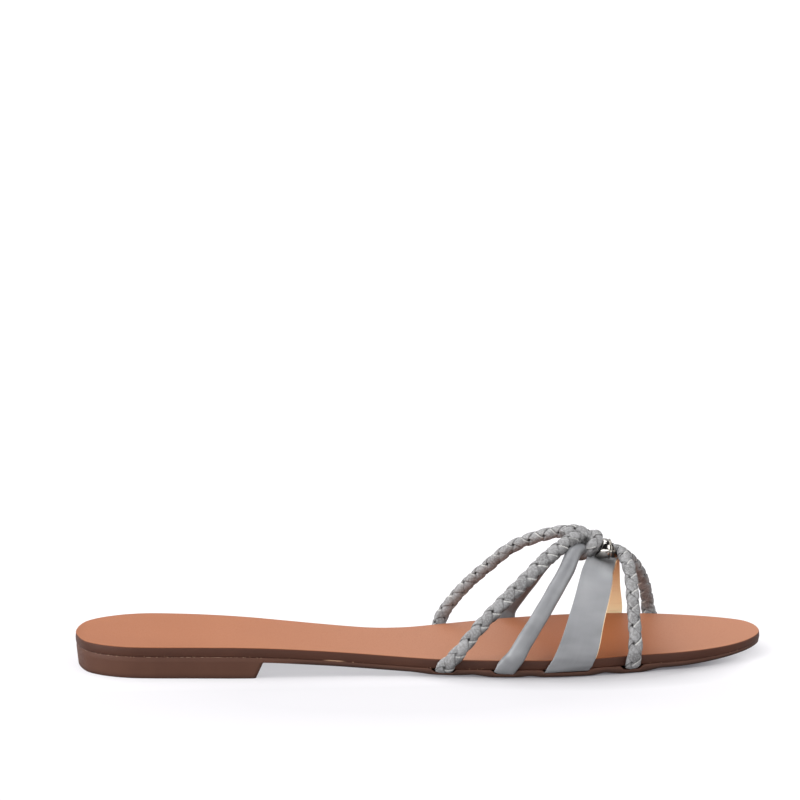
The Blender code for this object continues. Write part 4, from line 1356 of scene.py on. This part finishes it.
def band_frames():
    """Route of the band from tail to tail, with its width set along the sole and not along itself.
    Over the top of the foot its heel side is pulled up by the knot, as a bell curve."""
    rows = np.vstack((foot_rows("outer", "band")[::-1], strap_rows(BAND_ROUTE, "inner", "band")))
    places, points, normal, _ = frames_along(rows, BAND_STEP)
    forward = np.array((1.0, 0.0, 0.0))
    across = unit(forward - normal * (normal @ forward)[:, None])
    fraction, half_width = curve_through(BAND_WIDTHS).T
    width = np.interp(places / places[-1], fraction, half_width)[:, None]
    from_tail = np.minimum(places, places[-1] - places)
    thicken = ramp(from_tail, BAND_THIN_END, BAND_FULL_START)[:, None]
    thick = TAIL_HALF_THICK + (BAND_HALF_THICK - TAIL_HALF_THICK) * thicken
    over_top = np.exp(-(((places / places[-1] - TILT_PLACE) / TILT_REACH) ** 2))[:, None]
    return points, normal, across, width, thick, BAND_TILT * over_top


def oblong(columns, power):
    """Superellipse |u|^p + |v|^p = 1, walked evenly in angle: a strap with rounded edges."""
    turn = np.linspace(-np.pi, np.pi, columns, endpoint=False)
    u, v = np.sin(turn), np.cos(turn)
    return np.sign(u) * np.abs(u) ** (2.0 / power), np.sign(v) * np.abs(v) ** (2.0 / power)


def make_band():
    """Face and lining on the same frames, both raised by the tilt. The face has a crown, and the
    lining is a little narrower, most of all at the tails."""
    points, normal, across, width, thick, tilt = band_frames()
    at_tail = 1.0 - ramp(thick, TAIL_HALF_THICK, BAND_HALF_THICK)
    u, v = oblong(BAND_COLUMNS, BAND_CORNERS)
    crown = BAND_CROWN * (1.0 - u**2)
    raised = tilt * (((1.0 - u) / 2.0) ** 2 - EDGE_DROP * ramp(-u, DROP_START, 1.0))
    outwards = thick * (FACE_MIDDLE + FACE_HALF * v + crown * (v > 0)) + raised
    grid = carried(points, normal, across, outwards, width * u + FACE_SHIFT)
    # Painted shade darkens the face towards its feet, and painted light makes it paler under the ring
    painted_shade = np.clip((SHADE_FROM - grid[:, :, 2]) / (SHADE_FROM - SHADE_TO), 0.0, 1.0)
    under_ring = ramp(points[:, 2:], LIGHT_START, LIGHT_FULL)
    painted_light = LIGHT_SHARE * under_ring * ramp(u, LIGHT_SIDE_START, LIGHT_SIDE_FULL)
    put_strap("band_face", grid, {"seam": 0.0, "painted_shade": painted_shade, "painted_light": painted_light}, SMOOTH)
    outwards = thick * (LINING_MIDDLE + LINING_HALF * v) + raised
    sideways = (width - LINING_NARROWER - at_tail) * u + LINING_SHIFT
    grid = carried(points, normal, across, outwards, sideways)
    # The lining gets painted shade at its top, where the face has none
    put_strap("band_lining", grid, {"painted_shade": (1.0 - painted_shade) ** 2}, LINING)


make_band()

# %% [markdown]
# ## The ring
#
# A polished collar holds the two front braids where they leave the knot. It is a turned part with a
# barrel, a thin flange and a small bead, pressed oval to fit two cords side by side. The profile is
# carried round the oval, and it leans back at the bottom as the cords do. Its front lip is darkened
# with painted shade.

# %% Ring finish
METAL, tree, shader, coords = new_finish("polished_nickel", metallic=1.0)
grain = grain_on(tree, coords, 2600.0, 400.0)
nickel = mix_colours(tree, grain["Drift"], linear(200, 197, 191), linear(180, 176, 170))
# Painted shade darkens the front lip
lip_shaded = mix_colours(tree, mask(tree, "lip_shade"), nickel, linear(58, 53, 48))
wire(tree, shader, lip_shaded, spread(tree, grain["Drift"], 0.0, 1.0, 0.06, 0.14))
dents = product(tree, noise(tree, coords["Object"], 640.0, 1.0, 0.4), 60.0)
raise_surface(tree, shader, total(tree, grain["Height"], dents), 0.01, 0.35)
print("finish:", METAL.name)

# %% Ring piece
RING_CENTRE = np.array((193.2, 0.0, 38.8))
RING_BORE_Y, RING_BORE_Z = 5.0, 2.6
RING_DROP = 0.15
RING_COLUMNS = 128
# The front lip is darkened with painted shade from this place along the bottom of the profile
LIP_SHADE, LIP_SHADE_START, LIP_SHADE_REACH = 0.9, 0.3, 0.6
RING_PROFILE = (
    # along at the top, height above the bore, along at the bottom
    (-2.20, 0.00, -5.40),
    (-2.20, 0.30, -5.40),
    (-1.95, 0.64, -5.00),
    (-1.20, 0.90, -3.60),
    (-0.30, 0.92, -2.00),
    (0.35, 0.72, -0.70),
    (0.60, 0.40, -0.30),
    (0.75, 0.98, -0.10),
    (1.00, 0.98, 0.20),
    (1.05, 0.40, 0.50),
    (1.05, 0.60, 1.70),
    (1.10, 0.62, 2.80),
    (1.15, 0.30, 3.60),
    (1.15, 0.00, 3.60),
)


def make_ring():
    """Profile (along, height) carried round an oval of half axes b + height. The place along goes
    from its value at the top to that at the bottom as (1 - sin turn) / 2."""
    profile = curve_through(RING_PROFILE, per_span=6)
    high, height, low = (column[:, None] for column in np.vstack((profile, profile[:1])).T)
    turn = np.linspace(0.0, 2.0 * np.pi, RING_COLUMNS, endpoint=False)
    along = high + (low - high) * (1.0 - np.sin(turn)) / 2.0
    y = (RING_BORE_Y + height) * np.cos(turn)
    z = (RING_BORE_Z + height) * np.sin(turn) - RING_DROP * high
    lip_shade = LIP_SHADE * smoothstep((low - LIP_SHADE_START) / LIP_SHADE_REACH)
    ring = put_in_mesh("ring_collar", RING_CENTRE + np.dstack((along, y, z)), {"lip_shade": lip_shade})
    dress(ring, METAL, "ring")


make_ring()

# %% [markdown]
# ## Floor, light and camera
#
# The shoe stands on a plain white floor in soft studio light. A wide sun gives even light at any
# distance, so the floor stays white to the horizon, and the sky fills in from all sides. A long low
# softbox left of the front shines in under the straps. Another stands low on the left, and two higher
# ones stand to the left and right. The dark gap overhead is seen by reflections alone, and gives the
# metal something to reflect. The paper glows a little for the camera alone, so it is white without
# lighting the shoe from below. It glows less in two ovals, before the shoe and under its forepart.

# %% Floor
FLOOR_HALF = 14.0
PAPER_GREY, PAPER_ROUGH = (0.36, 0.355, 0.36, 1.0), 0.9
# Ovals on the floor where its glow is weaker: middle, half axes
FRONT_SHADE = (-0.01, -0.06, 0.0), (0.13, 0.06, 1.0)
FOREPART_SHADE = (0.055, -0.022, 0.0), (0.05, 0.03, 1.0)
# Distances, in half axes, over which the full glow comes back
FRONT_FADE, FOREPART_FADE = (0.45, 1.1), (0.8, 1.3)
# Glow in both ovals, on the floor before the shoe and on that behind it, and where these two meet
FRONT_GLOW, FOREPART_GLOW = (0.54, 0.53, 0.57, 1.0), (0.22, 0.215, 0.24, 1.0)
NEAR_GLOW, FAR_GLOW = (0.72, 0.71, 0.74, 1.0), (0.97, 0.96, 1.0, 1.0)
NEAR_END, FAR_START = -0.05, -0.022
NO_GLOW, GLOW_STRENGTH = (0.0, 0.0, 0.0, 1.0), 0.55
floor_mesh = bpy.data.meshes.new("studio_floor")
floor_corners = np.array(((-1, -1, 0), (1, -1, 0), (1, 1, 0), (-1, 1, 0))) * FLOOR_HALF
floor_mesh.from_pydata(floor_corners.tolist(), [], [(0, 1, 2, 3)])
floor = put_in_scene("studio_floor", floor_mesh)
PAPER, tree, shader, coords = new_finish("white_paper")
shader.inputs["Base Color"].default_value = PAPER_GREY
seen = add(tree, "ShaderNodeLightPath").outputs["Is Camera Ray"]
place = add(tree, "ShaderNodeSeparateXYZ", {"Vector": coords["Object"]}).outputs


def oval_distance(middle, half_axes):
    """Distance from a place on the floor, measured in the half axes of an oval round it."""
    moved = vector_maths(tree, "SUBTRACT", coords["Object"], middle)["Vector"]
    shrunk = vector_maths(tree, "DIVIDE", moved, half_axes)["Vector"]
    return vector_maths(tree, "LENGTH", shrunk)["Value"]


ahead = spread(tree, oval_distance(*FRONT_SHADE), *FRONT_FADE, 0.0, 1.0)
in_front = mix_colours(tree, ahead, FRONT_GLOW, NEAR_GLOW)
behind = spread(tree, place["Y"], NEAR_END, FAR_START, 0.0, 1.0)
paper_white = mix_colours(tree, behind, in_front, FAR_GLOW)
beyond = spread(tree, oval_distance(*FOREPART_SHADE), *FOREPART_FADE, 0.0, 1.0)
shaded = mix_colours(tree, beyond, FOREPART_GLOW, paper_white)
glow = mix_colours(tree, seen, NO_GLOW, shaded)
tree.links.new(glow, shader.inputs["Emission Color"])
shader.inputs["Emission Strength"].default_value = GLOW_STRENGTH
shader.inputs["Roughness"].default_value = PAPER_ROUGH
shader.inputs["Specular IOR Level"].default_value = 0.0
floor_mesh.materials.append(PAPER)
print("floor of", 2 * FLOOR_HALF, "m across")

# %% Camera
CAMERA_PLACE = (-0.1146, -1.3605, 0.3036)
CAMERA_TILT, CAMERA_TURN = 81.28, -4.5
LENS_MM, SENSOR_MM = 172.602, 36.0
camera_data = bpy.data.cameras.new("photo_camera")
camera_data.lens = LENS_MM
camera_data.sensor_width = SENSOR_MM
camera = put_in_scene("photo_camera", camera_data)
camera.location = CAMERA_PLACE
camera.rotation_euler = (np.radians(CAMERA_TILT), 0.0, np.radians(CAMERA_TURN))
bpy.context.scene.camera = camera
bpy.context.scene.view_settings.view_transform = "Standard"
print("camera", round(float(np.linalg.norm(CAMERA_PLACE)), 2), "m from the middle of the shoe")

# %% Light
SUN_STRENGTH, SUN_SPREAD = 1.3, 50.0
SUN_TILT, SUN_ROLL = -41.0, -15.0
SKY_LOW, SKY_HIGH, SKY_FULL = 0.36, 0.76, 0.9
# The dark gap fades out between these parts of a direction sideways, and in between these upwards
GAP_SIDES, GAP_HEIGHTS, DARK_LEVEL = (0.50, 0.70), (0.42, 0.58), 0.02
# The front softbox fades in between these cosines, and out between these parts upwards
FRONT, FRONT_LEVEL = (-0.4, -1.0, 0.0), 2.6
FRONT_ENDS, FRONT_TOP = (0.30, 0.55), (0.22, 0.45)
BOX_ENDS = 0.86, 0.95
SOFTBOXES = (
    # direction x, y, z, strength
    (-0.97, -0.15, 0.10, 4.8),
    (-0.76, -0.16, 0.62, 2.8),
    (0.78, -0.16, 0.60, 3.0),
)
sun_data = bpy.data.lights.new("softbox_sun", "SUN")
sun_data.energy = SUN_STRENGTH
sun_data.angle = np.radians(SUN_SPREAD)
sun = put_in_scene("softbox_sun", sun_data)
sun.rotation_euler = (np.radians(SUN_TILT), np.radians(SUN_ROLL), 0.0)
world = bpy.data.worlds.new("studio_sky")
world.use_nodes = True
bpy.context.scene.world = world
tree = world.node_tree
direction = add(tree, "ShaderNodeTexCoord").outputs["Generated"]


def facing(towards):
    """Cosine of the angle between each direction of the sky and the given one."""
    return vector_maths(tree, "DOT_PRODUCT", direction, unit(np.array(towards)).tolist())["Value"]


sky = add(tree, "ShaderNodeSeparateXYZ", {"Vector": direction}).outputs
beside = spread(tree, maths(tree, "ABSOLUTE", sky["X"], 0.0), *GAP_SIDES, 1.0, 0.0)
gap = product(tree, beside, spread(tree, sky["Z"], *GAP_HEIGHTS, 0.0, 1.0))
mirrored = add(tree, "ShaderNodeLightPath").outputs["Is Glossy Ray"]
gap = product(tree, gap, mirrored)
level = spread(tree, sky["Z"], 0.0, SKY_FULL, SKY_LOW, SKY_HIGH)
level = product(tree, level, spread(tree, gap, 0.0, 1.0, 1.0, DARK_LEVEL))
for *towards, strength in SOFTBOXES:
    level = total(tree, level, spread(tree, facing(towards), *BOX_ENDS, 0.0, strength))
ahead = spread(tree, facing(FRONT), *FRONT_ENDS, 0.0, FRONT_LEVEL)
strip = product(tree, ahead, spread(tree, sky["Z"], *FRONT_TOP, 1.0, 0.0))
tree.nodes["Background"].inputs["Color"].default_value = (1.0, 1.0, 1.0, 1.0)
tree.links.new(total(tree, level, strip), tree.nodes["Background"].inputs["Strength"])
print("sun of", SUN_STRENGTH, "and a sky from", SKY_LOW, "to", SKY_HIGH)
